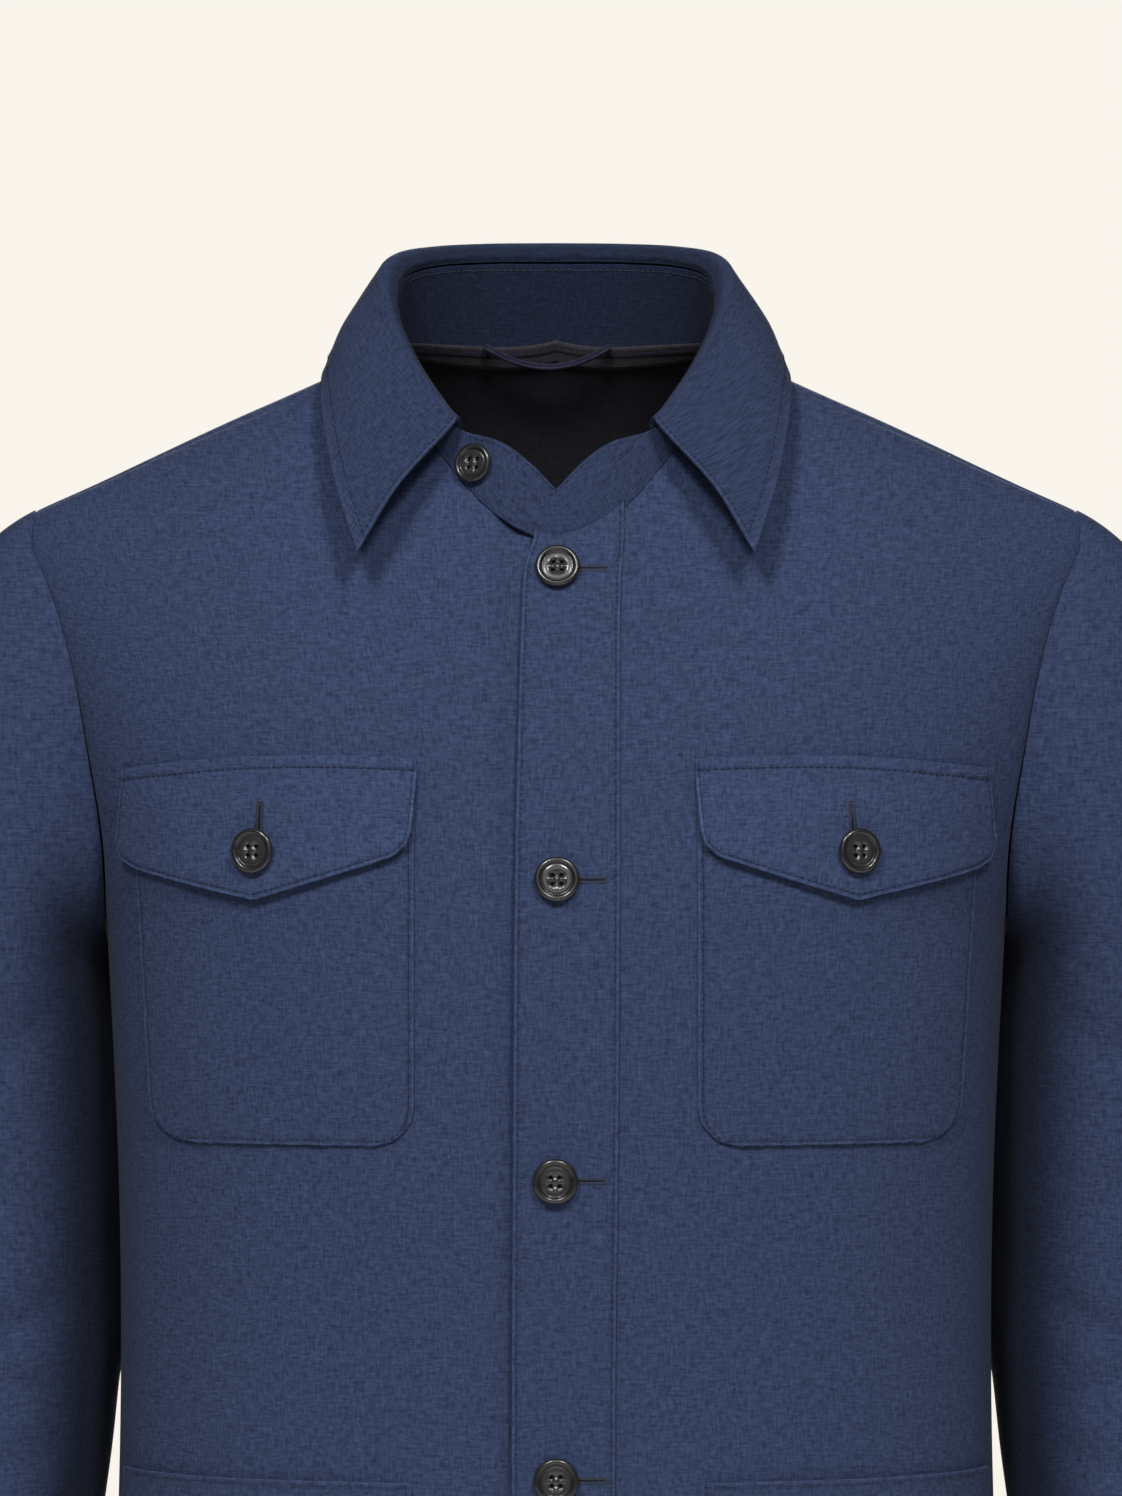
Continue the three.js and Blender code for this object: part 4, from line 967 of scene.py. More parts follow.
POCKET_THICK = 0.0014
CHEST_POCKET = {
    "name": "chest_pocket", "inner": 0.061, "outer": 0.184, "outer_low": 0.1755,
    "top": -0.194, "bottom": -0.339, "corner": 0.017, "cut": (0.135, 0.160),
}
LOWER_POCKET = {
    "name": "lower_pocket", "inner": 0.062, "outer": 0.189, "outer_low": 0.191,
    "top": -0.4845, "bottom": -0.694, "corner": 0.022, "cut": (0.165, 0.225),
}
FLAP_LINES = named_rows(
    "u top_x top_z low_x low_z",
    (0.00, 0.0603, -0.1730, 0.0632, -0.2050),
    (0.06, 0.0640, -0.1727, 0.0652, -0.2110),
    (0.12, 0.0695, -0.1723, 0.0700, -0.2153),
    (0.25, 0.0890, -0.1716, 0.0890, -0.2212),
    (0.39, 0.1090, -0.1712, 0.1090, -0.2274),
    (0.52, 0.1286, -0.1715, 0.1286, -0.2334),
    (0.65, 0.1480, -0.1726, 0.1480, -0.2288),
    (0.78, 0.1660, -0.1742, 0.1660, -0.2242),
    (0.90, 0.1810, -0.1758, 0.1815, -0.2200),
    (0.95, 0.1855, -0.1763, 0.1878, -0.2162),
    (1.00, 0.1884, -0.1766, 0.1903, -0.2085),
)
FLAP_LIFT = named_rows(
    "down lift",
    (0.0, 0.0),
    (0.10, 0.0011),
    (0.17, 0.0006),
    (0.4, 0.0020),
    (0.7, 0.0028),
    (1.0, 0.0044),
)
FLAP_WIDTH = 0.13
FLAP_TOP_Z = -0.1715
FLAP_HEIGHT = 0.062
FLAP_FALL = 0.045
FLAP_STITCH_TOP = 0.96
FLAP_SOFT = 0.0008
FLAP_SEAM = 0.0053
FLAP_EDGE_STITCH = 0.0016
FLAP_SIDE_LIFT = 0.0010
FLAP_OUTER_REST = 0.65
FLAP_PAINTED_LIGHT = 1.10
FLAP_HOLE = {"x": 0.1268, "z": -0.2045, "low": -0.009, "high": 0.0125}
POCKET_HEM = 0.019
POCKET_COLUMNS = 70
POCKET_ROWS = 80
POCKET_SOFT = 0.0007
POCKET_CLOSER = 0.8
POCKET_HEIGHT = 0.15
POCKET_CROWN = 0.0004
POCKET_MOUTH = 0.0007


def linear(table, key, at, column):
    for low, high in zip(table, table[1:]):
        if at <= high[key]:
            return mix(low[column], high[column], (at - low[key]) / (high[key] - low[key]))
    return table[-1][column]


def across_pocket(inner, outer, t):
    turn = mix(math.asin(inner / ARMPIT_HALF), math.asin(outer / ARMPIT_HALF), t)
    return ARMPIT_HALF * math.sin(turn)


def pocket_spot(pocket, u, t):
    down = 1.0 - t
    corner = pocket["corner"]
    height = pocket["top"] - pocket["bottom"]
    z = pocket["top"] - height * down
    into = max(0.0, corner - (z - pocket["bottom"]))
    inset = corner - math.sqrt(max(0.0, corner * corner - into * into))
    outer = mix(pocket["outer"], pocket["outer_low"], down) - inset
    x = across_pocket(pocket["inner"] + inset, outer, u)
    return x, z, inset


def sew_three_sides(bm, shape, side_in, top, corner, low):
    for path in (lambda s: (side_in, mix(top, corner, s)),
                 lambda s: (mix(side_in, 1.0 - side_in, s), low),
                 lambda s: (1.0 - side_in, mix(corner, top, s))):
        sew_row(bm, shape, path, BODY_MIDDLE)


def make_pocket(pocket, side_name, sign):
    def shape(u, t):
        x, z, inset = pocket_spot(pocket, u, t ** POCKET_CLOSER)
        width = pocket["outer"] - pocket["inner"]
        to_side = min(u, 1.0 - u) * width + inset * 0.4
        to_edge = min(to_side, z - pocket["bottom"])
        to_top = pocket["top"] - z
        inner = ease(0.004, 0.03, to_edge)
        lift = LAY_GAP + POCKET_THICK + groove(to_edge, EDGE_STITCH) + POCKET_CROWN * inner
        lift += pucker(z - x, to_edge, sign * 5.0 + pocket["top"] * 40.0)
        lift += groove(to_top, POCKET_HEM) + pucker(x, to_top - POCKET_HEM, sign * 9.0)
        soft = POCKET_SOFT * noise.noise(Vector((x * 26.0, z * 17.0, sign * 4.0)))
        mouth = POCKET_MOUTH * math.exp(-to_top / 0.004)
        lift += soft * inner + mouth * ease(0.0, 0.02, to_side)
        return laid_on_front(x * sign, z, lift)

    # Painted highlight along the pocket's turned edges and painted shade along its stitch lines.
    def tone(u, t):
        x, z, inset = pocket_spot(pocket, u, t ** POCKET_CLOSER)
        width = pocket["outer"] - pocket["inner"]
        to_side = min(u, 1.0 - u) * width + inset * 0.4
        return edge_highlight_and_seam_shade(min(to_side, z - pocket["bottom"], (1.0 - t) * POCKET_HEIGHT))

    piece = cloth_sheet(
        f"linen_{pocket['name']}_{side_name}", POCKET_COLUMNS, POCKET_ROWS, shape, BODY_MIDDLE,
        thick=POCKET_THICK, tone=tone, grain=straight_grain("front", 0.17 + 0.05 * sign), bunch=(0.8, 0.8)
    )
    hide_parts(f"{pocket['name']}_{side_name}")

    thread = bmesh.new()
    side_in = EDGE_STITCH / (pocket["outer"] - pocket["inner"])
    low_in = EDGE_STITCH / (pocket["top"] - pocket["bottom"])
    low_row = low_in ** (1.0 / POCKET_CLOSER)
    sew_three_sides(thread, shape, side_in, 1.0, low_row, low_row)
    hem_row = (1.0 - POCKET_HEM / (pocket["top"] - pocket["bottom"])) ** (1.0 / POCKET_CLOSER)
    sew_row(thread, shape, lambda s: (mix(side_in, 1.0 - side_in, s), hem_row), BODY_MIDDLE)
    sewn_piece(f"{pocket['name']}_{side_name}_stitches", thread)


def flap_spot(u, down):
    top_x = linear(FLAP_LINES, "u", u, "top_x")
    top_z = linear(FLAP_LINES, "u", u, "top_z")
    low_x = linear(FLAP_LINES, "u", u, "low_x")
    low_z = linear(FLAP_LINES, "u", u, "low_z")
    return mix(top_x, low_x, down), mix(top_z, low_z, down), (1.0 - down) * (top_z - low_z)


def make_flap(side_name, sign):
    def shape(u, t):
        down = 1.0 - t
        x, z, to_low = flap_spot(u, down)
        to_edge = min(min(u, 1.0 - u) * FLAP_WIDTH, to_low)
        from_top = linear(FLAP_LINES, "u", u, "top_z") - z
        lift = LAY_GAP + POCKET_THICK + linear(FLAP_LIFT, "down", down, "lift")
        lift += groove(to_edge, FLAP_EDGE_STITCH) + 2.0 * groove(from_top, FLAP_SEAM)
        lift += FLAP_SIDE_LIFT * math.exp(-u * FLAP_WIDTH / 0.004) * ease(0.0, 0.2, down)
        lift -= FLAP_OUTER_REST * linear(FLAP_LIFT, "down", down, "lift") * ease(0.72, 1.0, u)
        lift += pucker(x - z, to_edge, sign * 2.0) * (0.0 if from_top < 0.008 else 1.0)
        lift += 1.4 * pucker(x + 0.5 * from_top, from_top - FLAP_SEAM, sign * 3.0)
        lift += FLAP_SOFT * noise.noise(Vector((x * 45.0, z * 30.0, sign * 6.0))) * ease(0.0, 0.5, down)
        return laid_on_front(x * sign, z, lift)

    # Painted light: the flap is painted a tenth lighter than the other linen, for the light the raised flap
    # catches, with painted highlights on its edges and painted shade along its top seam.
    def tone(u, t):
        x, z, to_low = flap_spot(u, 1.0 - t)
        from_top = linear(FLAP_LINES, "u", u, "top_z") - z
        seam = SEAM_SHADE * math.exp(-(((from_top - FLAP_SEAM) / SEAM_SHADE_WIDTH) ** 2))
        return FLAP_PAINTED_LIGHT * edge_highlight_and_seam_shade(min(min(u, 1.0 - u) * FLAP_WIDTH, to_low), FLAP_EDGE_STITCH) - seam

    piece = cloth_sheet(
        f"linen_chest_flap_{side_name}", 110, 60, shape, BODY_MIDDLE, thick=POCKET_THICK, tone=tone,
        grain=straight_grain("front", 0.43 + 0.05 * sign), bunch=(0.8, 0.6)
    )
    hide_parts(f"chest_flap_{side_name}")

    thread = bmesh.new()
    side_in = FLAP_EDGE_STITCH / FLAP_WIDTH
    low_in = FLAP_EDGE_STITCH / FLAP_FALL
    sew_three_sides(thread, shape, side_in, FLAP_STITCH_TOP, low_in * 1.3, low_in)

    def seam_path(s):
        u = mix(0.01, 0.99, s)
        tall = linear(FLAP_LINES, "u", u, "top_z") - linear(FLAP_LINES, "u", u, "low_z")
        return u, 1.0 - FLAP_SEAM / tall

    sew_row(thread, shape, seam_path, BODY_MIDDLE, radius=STITCH_RADIUS * 1.4)
    sewn_piece(f"chest_flap_{side_name}_stitches", thread)

    def on_flap(x, z, lift):
        down = min(1.0, max(0.0, (FLAP_TOP_Z - z) / FLAP_HEIGHT))
        rise = POCKET_THICK - PLACKET_THICK + linear(FLAP_LIFT, "down", down, "lift")
        return laid_on_front(x * sign, z, lift + rise)

    buttonhole(f"flap_buttonhole_{side_name}", on_flap, FLAP_HOLE["x"], FLAP_HOLE["z"],
               FLAP_HOLE["low"], FLAP_HOLE["high"], True)


for side_name, sign in (("left", 1.0), ("right", -1.0)):
    make_pocket(CHEST_POCKET, side_name, sign)
    make_pocket(LOWER_POCKET, side_name, sign)
    make_flap(side_name, sign)

# Sleeves
# Each sleeve is cut in two, a wide top sleeve and a narrow under sleeve, joined by a seam
# under the arm and one behind it. The cap is eased into the armhole; the hem is turned up.

SLEEVE_TOP_Z = -0.264
CUFF_Z = -0.696
SLEEVE_RINGS = named_rows(
    "z x y half_x half_y power",
    (-0.696, 0.261, -0.002, 0.0445, 0.047, 2.10),
    (-0.635, 0.259, 0.004, 0.0455, 0.049, 2.10),
    (-0.570, 0.256, 0.012, 0.0475, 0.052, 2.10),
    (-0.510, 0.252, 0.020, 0.0495, 0.055, 2.10),
    (-0.450, 0.247, 0.027, 0.0510, 0.058, 2.10),
    (-0.390, 0.246, 0.029, 0.0505, 0.061, 2.10),
    (-0.320, 0.247, 0.027, 0.0505, 0.065, 2.15),
    (-0.264, 0.249, 0.022, 0.0485, 0.070, 2.20),
)
SLEEVE_CREASES = named_rows(
    "z turn slope tall around deep",
    (-0.300, 95, 0.45, 0.012, 55, -0.0026),
    (-0.352, 60, -0.40, 0.011, 45, -0.0024),
    (-0.418, 110, 0.50, 0.010, 50, -0.0036),
    (-0.446, 85, -0.35, 0.009, 55, -0.0032),
    (-0.478, 120, 0.30, 0.010, 50, -0.0028),
    (-0.545, 250, 0.35, 0.014, 50, -0.0022),
    (-0.610, 70, -0.30, 0.013, 45, -0.0018),
    (-0.430, 250, 0.25, 0.015, 60, 0.0022),
    (-0.335, 290, -0.35, 0.013, 50, -0.0024),
    (-0.510, 300, -0.30, 0.012, 45, -0.0020),
)
SLEEVE_HANG = named_rows(
    "z in",
    (-0.480, 0.0),
    (-0.465, 0.0),
    (-0.450, 0.0006),
    (-0.435, 0.0028),
    (-0.400, 0.0048),
    (-0.320, 0.0055),
    (-0.264, 0.0050),
)
CAP_SHARE = 0.36
CAP_LAP = 0.0013
CAP_RISE = 0.0005
UNDERARM_SEAM = 186.0
BACK_SEAM = 286.0
TOP_SLEEVE_COLUMNS = 74
UNDER_SLEEVE_COLUMNS = 30
SLEEVE_ROWS = 170
CUFF_STITCH = 0.020
SLEEVE_LENGTH = 0.62
SLEEVE_UNEVEN = 0.0009
SLEEVE_GIRTH = 0.33
SLEEVE_GRAIN_RADIUS = 0.054
SEAM_TUCK = 1.6
TUCK_SINK = 1.8
SLEEVE_PAINTED_SHADE = 0.94
SLEEVE_HOLLOW_PAINTED_SHADE = 0.26
GRAIN_MARGIN = 50.0


@functools.lru_cache(maxsize=None)
def armhole_ring(turn):
    side = "front" if turn <= math.pi else "back"
    phi, level = armhole_place(side, turn if side == "front" else 2.0 * math.pi - turn)
    under = (1.0 - math.cos(turn)) / 2.0
    away = Vector((mix(1.0, 0.25, under), -0.35 * math.sin(turn), mix(-0.5, -1.0, under))).normalized()
    point = skin(side, phi, level) - away * CAP_LAP
    return point + skin_normal(side, phi, level) * CAP_RISE, away


def sleeve_crease_depth(z, turn):
    degrees = math.degrees(turn)
    depth = 0.0
    for crease in SLEEVE_CREASES:
        across = (degrees - crease["turn"]) / crease["around"]
        tilt = crease["slope"] * 0.001 * (degrees - crease["turn"])
        up = (z - crease["z"] - tilt) / crease["tall"]
        distance = across * across + up * up
        if distance < 9.0:
            depth += crease["deep"] * math.exp(-distance)
    return depth * ease(45.0, 75.0, abs(degrees - 180.0))


def sleeve_ring(z, turn):
    power = along(SLEEVE_RINGS, "z", z, "power")
    out_x = signed_power(math.cos(turn), 2.0 / power)
    out_y = -signed_power(math.sin(turn), 2.0 / power)
    depth = sleeve_crease_depth(z, turn)
    x = along(SLEEVE_RINGS, "z", z, "x") + out_x * (along(SLEEVE_RINGS, "z", z, "half_x") + depth)
    y = along(SLEEVE_RINGS, "z", z, "y") + out_y * (along(SLEEVE_RINGS, "z", z, "half_y") + depth)
    degrees = math.degrees(turn)
    x -= along(SLEEVE_HANG, "z", z, "in") * ease(150.0, 195.0, degrees) * ease(270.0, 235.0, degrees)
    bump = SLEEVE_UNEVEN * noise.noise(Vector((out_x * 1.6, out_y * 1.6, z * 22.0)))
    return Vector((x + out_x * bump, y + out_y * bump, z))


def sleeve_point(u, t):
    turn = (u % 1.0) * 2.0 * math.pi
    down = 1.0 - t
    if down >= CAP_SHARE:
        z = mix(SLEEVE_TOP_Z, CUFF_Z, (down - CAP_SHARE) / (1.0 - CAP_SHARE))
        return sleeve_ring(z, turn)
    s = down / CAP_SHARE
    start, away = armhole_ring(turn)
    end = sleeve_ring(SLEEVE_TOP_Z, turn)
    reach = (end - start).length
    arrive = (sleeve_ring(SLEEVE_TOP_Z - 0.001, turn) - end).normalized()
    s2 = s * s
    s3 = s2 * s
    point = start * (2 * s3 - 3 * s2 + 1) + end * (3 * s2 - 2 * s3)
    return point + away * reach * (s3 - 2 * s2 + s) + arrive * reach * (s3 - s2)


def sleeve_middle(z):
    return Vector((along(SLEEVE_RINGS, "z", z, "x"), along(SLEEVE_RINGS, "z", z, "y"), z))


def make_sleeve_piece(name, side_name, sign, first, last, columns, sink=1.0):
    def shape(u, t):
        degrees = mix(first, last, u)
        point = sleeve_point(degrees / 360.0, t)
        to_seam = min(u, 1.0 - u) * (last - first) / 360.0 * SLEEVE_GIRTH
        to_hem = t * SLEEVE_LENGTH
        middle = sleeve_middle(point.z)
        outward = Vector((point.x - middle.x, point.y - middle.y, 0.0)).normalized()
        seam = -sink * SEAM_SINK * math.exp(-to_seam / SEAM_REACH) * ease(1.0, 0.93, t)
        hem = pucker(u * 0.3, to_hem - CUFF_STITCH, sign * 8.0)
        point += outward * (seam + groove(to_hem, CUFF_STITCH) + hem)
        return Vector((point.x * sign, point.y, point.z))

    def grain(point):
        centre = sleeve_middle(min(point.z, SLEEVE_TOP_Z))
        degrees = math.degrees(math.atan2(centre.y - point.y, point.x * sign - centre.x))
        degrees = (degrees - first + GRAIN_MARGIN) % 360.0 + first - GRAIN_MARGIN
        return math.radians(degrees) * SLEEVE_GRAIN_RADIUS + sign * 0.7, point.z

    # Painted shade: the whole sleeve is darkened a little, and its inner side towards the body much more,
    # fading out at the cap, standing in for the shade between sleeve and body.
    def tone(u, t):
        degrees = mix(first, last, u)
        hollow = ease(92.0, 140.0, degrees) * ease(285.0, 240.0, degrees) * ease(0.97, 0.75, t)
        return mix(SLEEVE_PAINTED_SHADE, SLEEVE_HOLLOW_PAINTED_SHADE, hollow)

    middle = Vector((0.25 * sign, 0.02, -0.4))
    piece = cloth_sheet(f"linen_{name}_{side_name}", columns, SLEEVE_ROWS, shape, middle,
                        grain=grain, tone=tone)
    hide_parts(f"{name}_{side_name}")
    thread = bmesh.new()
    sew_row(thread, shape, lambda s: (s, CUFF_STITCH / SLEEVE_LENGTH), middle)
    sewn_piece(f"{name}_{side_name}_stitches", thread)


for side_name, sign in (("left", 1.0), ("right", -1.0)):
    make_sleeve_piece("top_sleeve", side_name, sign, BACK_SEAM - 360.0, UNDERARM_SEAM,
                      TOP_SLEEVE_COLUMNS)
    make_sleeve_piece("under_sleeve", side_name, sign, UNDERARM_SEAM - SEAM_TUCK,
                      BACK_SEAM + SEAM_TUCK, UNDER_SLEEVE_COLUMNS,
                      sink=TUCK_SINK)

# Collar
# The stand is a firm band sewn to the neckline. The leaf is double cloth, sewn to the top
# of the stand, rolled over it and pressed down to two points, edge stitched all round.

STAND_THICK = 0.0020
LEAF_THICK = 0.0020
STAND_TOP = named_rows(
    "round x y z",
    (0, 0.0000, 0.0710, 0.0515),
    (26, 0.0310, 0.0655, 0.0510),
    (50, 0.0550, 0.0490, 0.0485),
    (70, 0.0685, 0.0280, 0.0430),
    (88, 0.0730, 0.0060, 0.0320),
    (104, 0.0710, -0.0120, 0.0170),
    (121, 0.0625, -0.0310, -0.0010),
    (134, 0.0520, -0.0450, -0.0165),
    (146, 0.0420, -0.0560, -0.0285),
    (158, 0.0250, -0.0660, -0.0340),
    (169, 0.0125, -0.0695, -0.0425),
    (180, 0.0010, -0.0710, -0.0540),
    (188, -0.0040, -0.0710, -0.0580),
)
COLLAR_LINES = named_rows(
    "round fold_x fold_y fold_z edge_x edge_y edge_z",
    (0, 0.0, 0.077, 0.0615, 0.0, 0.086, 0.008),
    (24, 0.029, 0.073, 0.061, 0.035, 0.0825, 0.0075),
    (46, 0.054, 0.059, 0.059, 0.066, 0.071, 0.006),
    (66, 0.071, 0.038, 0.0545, 0.088, 0.048, 0.004),
    (86, 0.0775, 0.014, 0.045, 0.101, 0.018, 0.0025),
    (104, 0.075, -0.009, 0.028, 0.104, -0.018, -0.004),
    (121, 0.066, -0.031, 0.008, 0.102, -0.053, -0.023),
    (134, 0.0545, -0.048, -0.0095, 0.096, -0.080, -0.052),
    (146, 0.043, -0.061, -0.0235, 0.086, -0.100, -0.083),
)
ROLL_RADIUS = 0.0045
LEAF_BULGE = 0.0032
STAND_LEFT_END = 188.0
STAND_RIGHT_END = 180.0
STAND_RIGHT_SINK = 0.0026
STAND_EDGE_STITCH = 0.0018
STAND_FOOT_LAP = 0.0016
STAND_PAINTED_SHADE = 0.80
LEAF_PAINTED_SHADE = 0.78
STAND_FOOT_OUT = 0.0011
LEAF_END = 146.0
LEAF_PER_DEGREE = 0.0019
STAND_PER_DEGREE = 0.00125
LEAF_FALL = 1.6
LEAF_STITCH = 0.0050
LEAF_SEAM_SHARE = 0.12
COLLAR_PAINTED_SHADE_DARK = (0.0085, 0.0125, 0.031, 1.0)
COLLAR_PAINTED_SHADE_LIGHT = (0.0215, 0.0305, 0.068, 1.0)
COLLAR_SOFT = 0.0007
LEAF_STAND_OFF = 0.0030

# Painted shade: a darker copy of the navy linen covers the inside of the collar stand, standing in for the
# shade inside the neck.
SHADED_INNER_LINEN = woven_material("navy_linen_inner_collar_painted_shade", COLLAR_PAINTED_SHADE_DARK, COLLAR_PAINTED_SHADE_LIGHT,
                             0.02, 0.5, 0.9)


def mirrored_spot(table, round_, prefix=""):
    degrees = abs(round_)
    x = along(table, "round", degrees, prefix + "x")
    return Vector((
        math.copysign(x, x * (-1.0 if round_ < 0.0 else 1.0)),
        along(table, "round", degrees, prefix + "y"),
        along(table, "round", degrees, prefix + "z"),
    ))


def stand_top_spot(round_):
    return mirrored_spot(STAND_TOP, round_)


def fold_spot(round_):
    return mirrored_spot(COLLAR_LINES, round_, "fold_")


def neck_spot(round_):
    degrees = abs(round_)
    side = "back" if degrees <= 90.0 else "front"
    point = skin(side, *neck_place(side, math.radians(abs(90.0 - degrees))))
    point.x *= -1.0 if round_ < 0.0 else 1.0
    return point


def away_from_neck(curve, round_):
    ahead = curve(round_ + 2.0) - curve(round_ - 2.0)
    return Vector((-ahead.y, ahead.x, 0.0)).normalized()


def stand_shape(u, t):
    round_ = mix(-STAND_RIGHT_END, STAND_LEFT_END, u)
    base = neck_spot(round_)
    top = stand_top_spot(round_)
    base -= (top - base).normalized() * STAND_FOOT_LAP
    point = base.lerp(top, t)
    away = away_from_neck(stand_top_spot, round_)
    point += away * STAND_FOOT_OUT * (1.0 - t)
    point -= away * STAND_RIGHT_SINK * ease(-164.0, -173.0, round_)
    to_end = abs(round_ - (STAND_LEFT_END if round_ > 0.0 else -STAND_RIGHT_END)) * STAND_PER_DEGREE
    height = (top - base).length
    to_edge = min(to_end, (1.0 - t) * height) if abs(round_) > LEAF_END else 1.0
    lift = groove(to_edge, STAND_EDGE_STITCH) + groove(t * height, STAND_EDGE_STITCH)
    run = round_ * STAND_PER_DEGREE
    lift += pucker(run, (1.0 - t) * height, 17.0) + pucker(run, t * height, 19.0)
    return point + away * lift


def bezier_path(knots, t):
    spans = len(knots) - 1
    place = min(t * spans, spans - 1e-6)
    i = int(place)
    f = place - i
    before = knots[max(i - 1, 0)]
    start = knots[i]
    end = knots[i + 1]
    after = knots[min(i + 2, spans)]
    f2 = f * f
    f3 = f2 * f
    slope_in = (end - before) * 0.5 if i else (end - start)
    slope_out = (after - start) * 0.5 if i + 2 <= spans else (end - start)
    return (start * (2 * f3 - 3 * f2 + 1) + slope_in * (f3 - 2 * f2 + f)
            + end * (3 * f2 - 2 * f3) + slope_out * (f3 - f2))


@functools.lru_cache(maxsize=None)
def leaf_knots(round_):
    fold = fold_spot(round_)
    away = away_from_neck(fold_spot, round_)
    edge = mirrored_spot(COLLAR_LINES, round_, "edge_")
    start = stand_top_spot(round_) - away_from_neck(stand_top_spot, round_) * STAND_THICK
    start.z += 0.0010
    rising = start.copy()
    rising.z += (fold.z - start.z) * 0.45
    roll = fold + away * ROLL_RADIUS
    roll.z -= ROLL_RADIUS
    middle = roll.lerp(edge, 0.5) + away * LEAF_BULGE
    middle.z += LEAF_BULGE / 2.0
    return (start, rising, fold, roll, middle, edge)


def leaf_shape(u, t):
    round_ = round(mix(-LEAF_END, LEAF_END, u), 4)
    knots = leaf_knots(round_)
    point = bezier_path(knots, t)
    ahead = bezier_path(knots, min(1.0, t + 0.01)) - bezier_path(knots, max(0.0, t - 0.01))
    around = fold_spot(round_ + 2.0) - fold_spot(round_ - 2.0)
    outward = around.cross(ahead).normalized()
    fall = (knots[5] - knots[2]).length
    to_edge = (1.0 - t) * fall * LEAF_FALL
    to_front = (1.0 - abs(2.0 * u - 1.0)) * LEAF_END * LEAF_PER_DEGREE
    lift = groove(to_edge, LEAF_STITCH) + pucker(round_ * 0.0018, to_edge - LEAF_STITCH, 23.0)
    lift += pucker(round_ * 0.0012, (t - LEAF_SEAM_SHARE) * 0.06, 29.0) + groove(to_front, EDGE_STITCH)
    soft = COLLAR_SOFT * noise.noise(point * 34.0)
    lift += soft * ease(0.35, 0.6, t) * ease(0.0, 0.012, to_edge)
    stand_off = LEAF_STAND_OFF * math.exp(-to_front / 0.03) * ease(0.30, 0.55, t) * ease(1.6, 0.75, t)
    return point - outward * lift - Vector((0.0, stand_off, 0.0))


# Painted shade and highlight: the part of the leaf rising from the stand is darkened much and the outer part
# a little, standing in for the shade around the collar; thin painted highlights run along its front and
# outer edges.
def leaf_tone(u, t):
    to_front = (1.0 - abs(2.0 * u - 1.0)) * LEAF_END * LEAF_PER_DEGREE
    outer = LEAF_PAINTED_SHADE + 0.30 * math.exp(-to_front / TURNED_EDGE)
    outer += 0.2 * math.exp(-(1.0 - t) * 0.05 / TURNED_EDGE)
    return mix(0.42, outer, ease(0.26, 0.36, t))


NECK_MIDDLE = Vector((0.0, 0.0, -0.02))
# Painted shade: the whole stand is darkened, standing in for the shade under the collar leaf.
stand = cloth_sheet("linen_collar_stand", 180, 14, stand_shape, NECK_MIDDLE, thick=STAND_THICK,
                    inside=SHADED_INNER_LINEN, tone=lambda u, t: STAND_PAINTED_SHADE)
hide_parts("collar_stand")

leaf = cloth_sheet("linen_collar_leaf", 170, 48, leaf_shape, NECK_MIDDLE, thick=LEAF_THICK,
                   tone=leaf_tone, bunch=(0.6, 0.4))
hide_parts("collar_leaf")

collar_thread = bmesh.new()


def leaf_row(s):
    round_ = mix(-LEAF_END, LEAF_END, s)
    knots = leaf_knots(round(round_, 4))
    fall = (knots[5] - knots[2]).length * LEAF_FALL
    return s, 1.0 - LEAF_STITCH / fall


leaf_front_in = 0.5 * EDGE_STITCH / (LEAF_END * LEAF_PER_DEGREE)
sew_row(collar_thread, leaf_shape, leaf_row, NECK_MIDDLE)
for edge_u in (leaf_front_in, 1.0 - leaf_front_in):
    sew_row(collar_thread, leaf_shape, lambda s: (edge_u, mix(0.5, 0.97, s)), NECK_MIDDLE)
for first, last in ((0.0, 0.09), (0.91, 1.0)):
    sew_row(collar_thread, stand_shape, lambda s: (mix(first, last, s), 0.94), NECK_MIDDLE)
    sew_row(collar_thread, stand_shape, lambda s: (mix(first, last, s), 0.06), NECK_MIDDLE)
sewn_piece("collar_stitches", collar_thread)

neck_thread = bmesh.new()
for row in (0.05, 0.93):
    sew_row(neck_thread, stand_shape, lambda s: (mix(0.22, 0.74, s), row), NECK_MIDDLE,
            lift=-STAND_THICK - 0.0002)
sewn_piece("neck_stitches", neck_thread, HOLE_THREAD)

# Back lining and hanger loop
# A half moon of smooth dark lining backs the linen below the neck seam, under a grey-brown
# neck tape. A narrow folded loop is caught in the seam at both ends and hangs in a curve.

LINING_HALF = 0.084
LINING_DROP = 0.112
LINING_TOP_Z = 0.002
LINING_START = 12.0
LINING_DARK = (0.0080, 0.0080, 0.0115, 1.0)
LINING_LIGHT = (0.0165, 0.0165, 0.0225, 1.0)
TAPE_DARK = (0.030, 0.028, 0.034, 1.0)
TAPE_LIGHT = (0.060, 0.056, 0.066, 1.0)
LOOP_DARK = (0.010, 0.010, 0.026, 1.0)
LOOP_LIGHT = (0.028, 0.027, 0.060, 1.0)
TAPE_DROP = 0.0095
TAPE_THICK = 0.0006
TAPE_REACH = 0.86
TAPE_BEHIND = 0.0004
TAPE_RISE = 0.0012
LOOP_MIDDLE_X = -0.004
LOOP_HALF_SPAN = 0.028
LOOP_TOP_Z = 0.0135
LOOP_SAG = 0.0090
LOOP_INSET = 0.0071
LOOP_END_INSET = 0.00375
LOOP_RADIUS = 0.0014

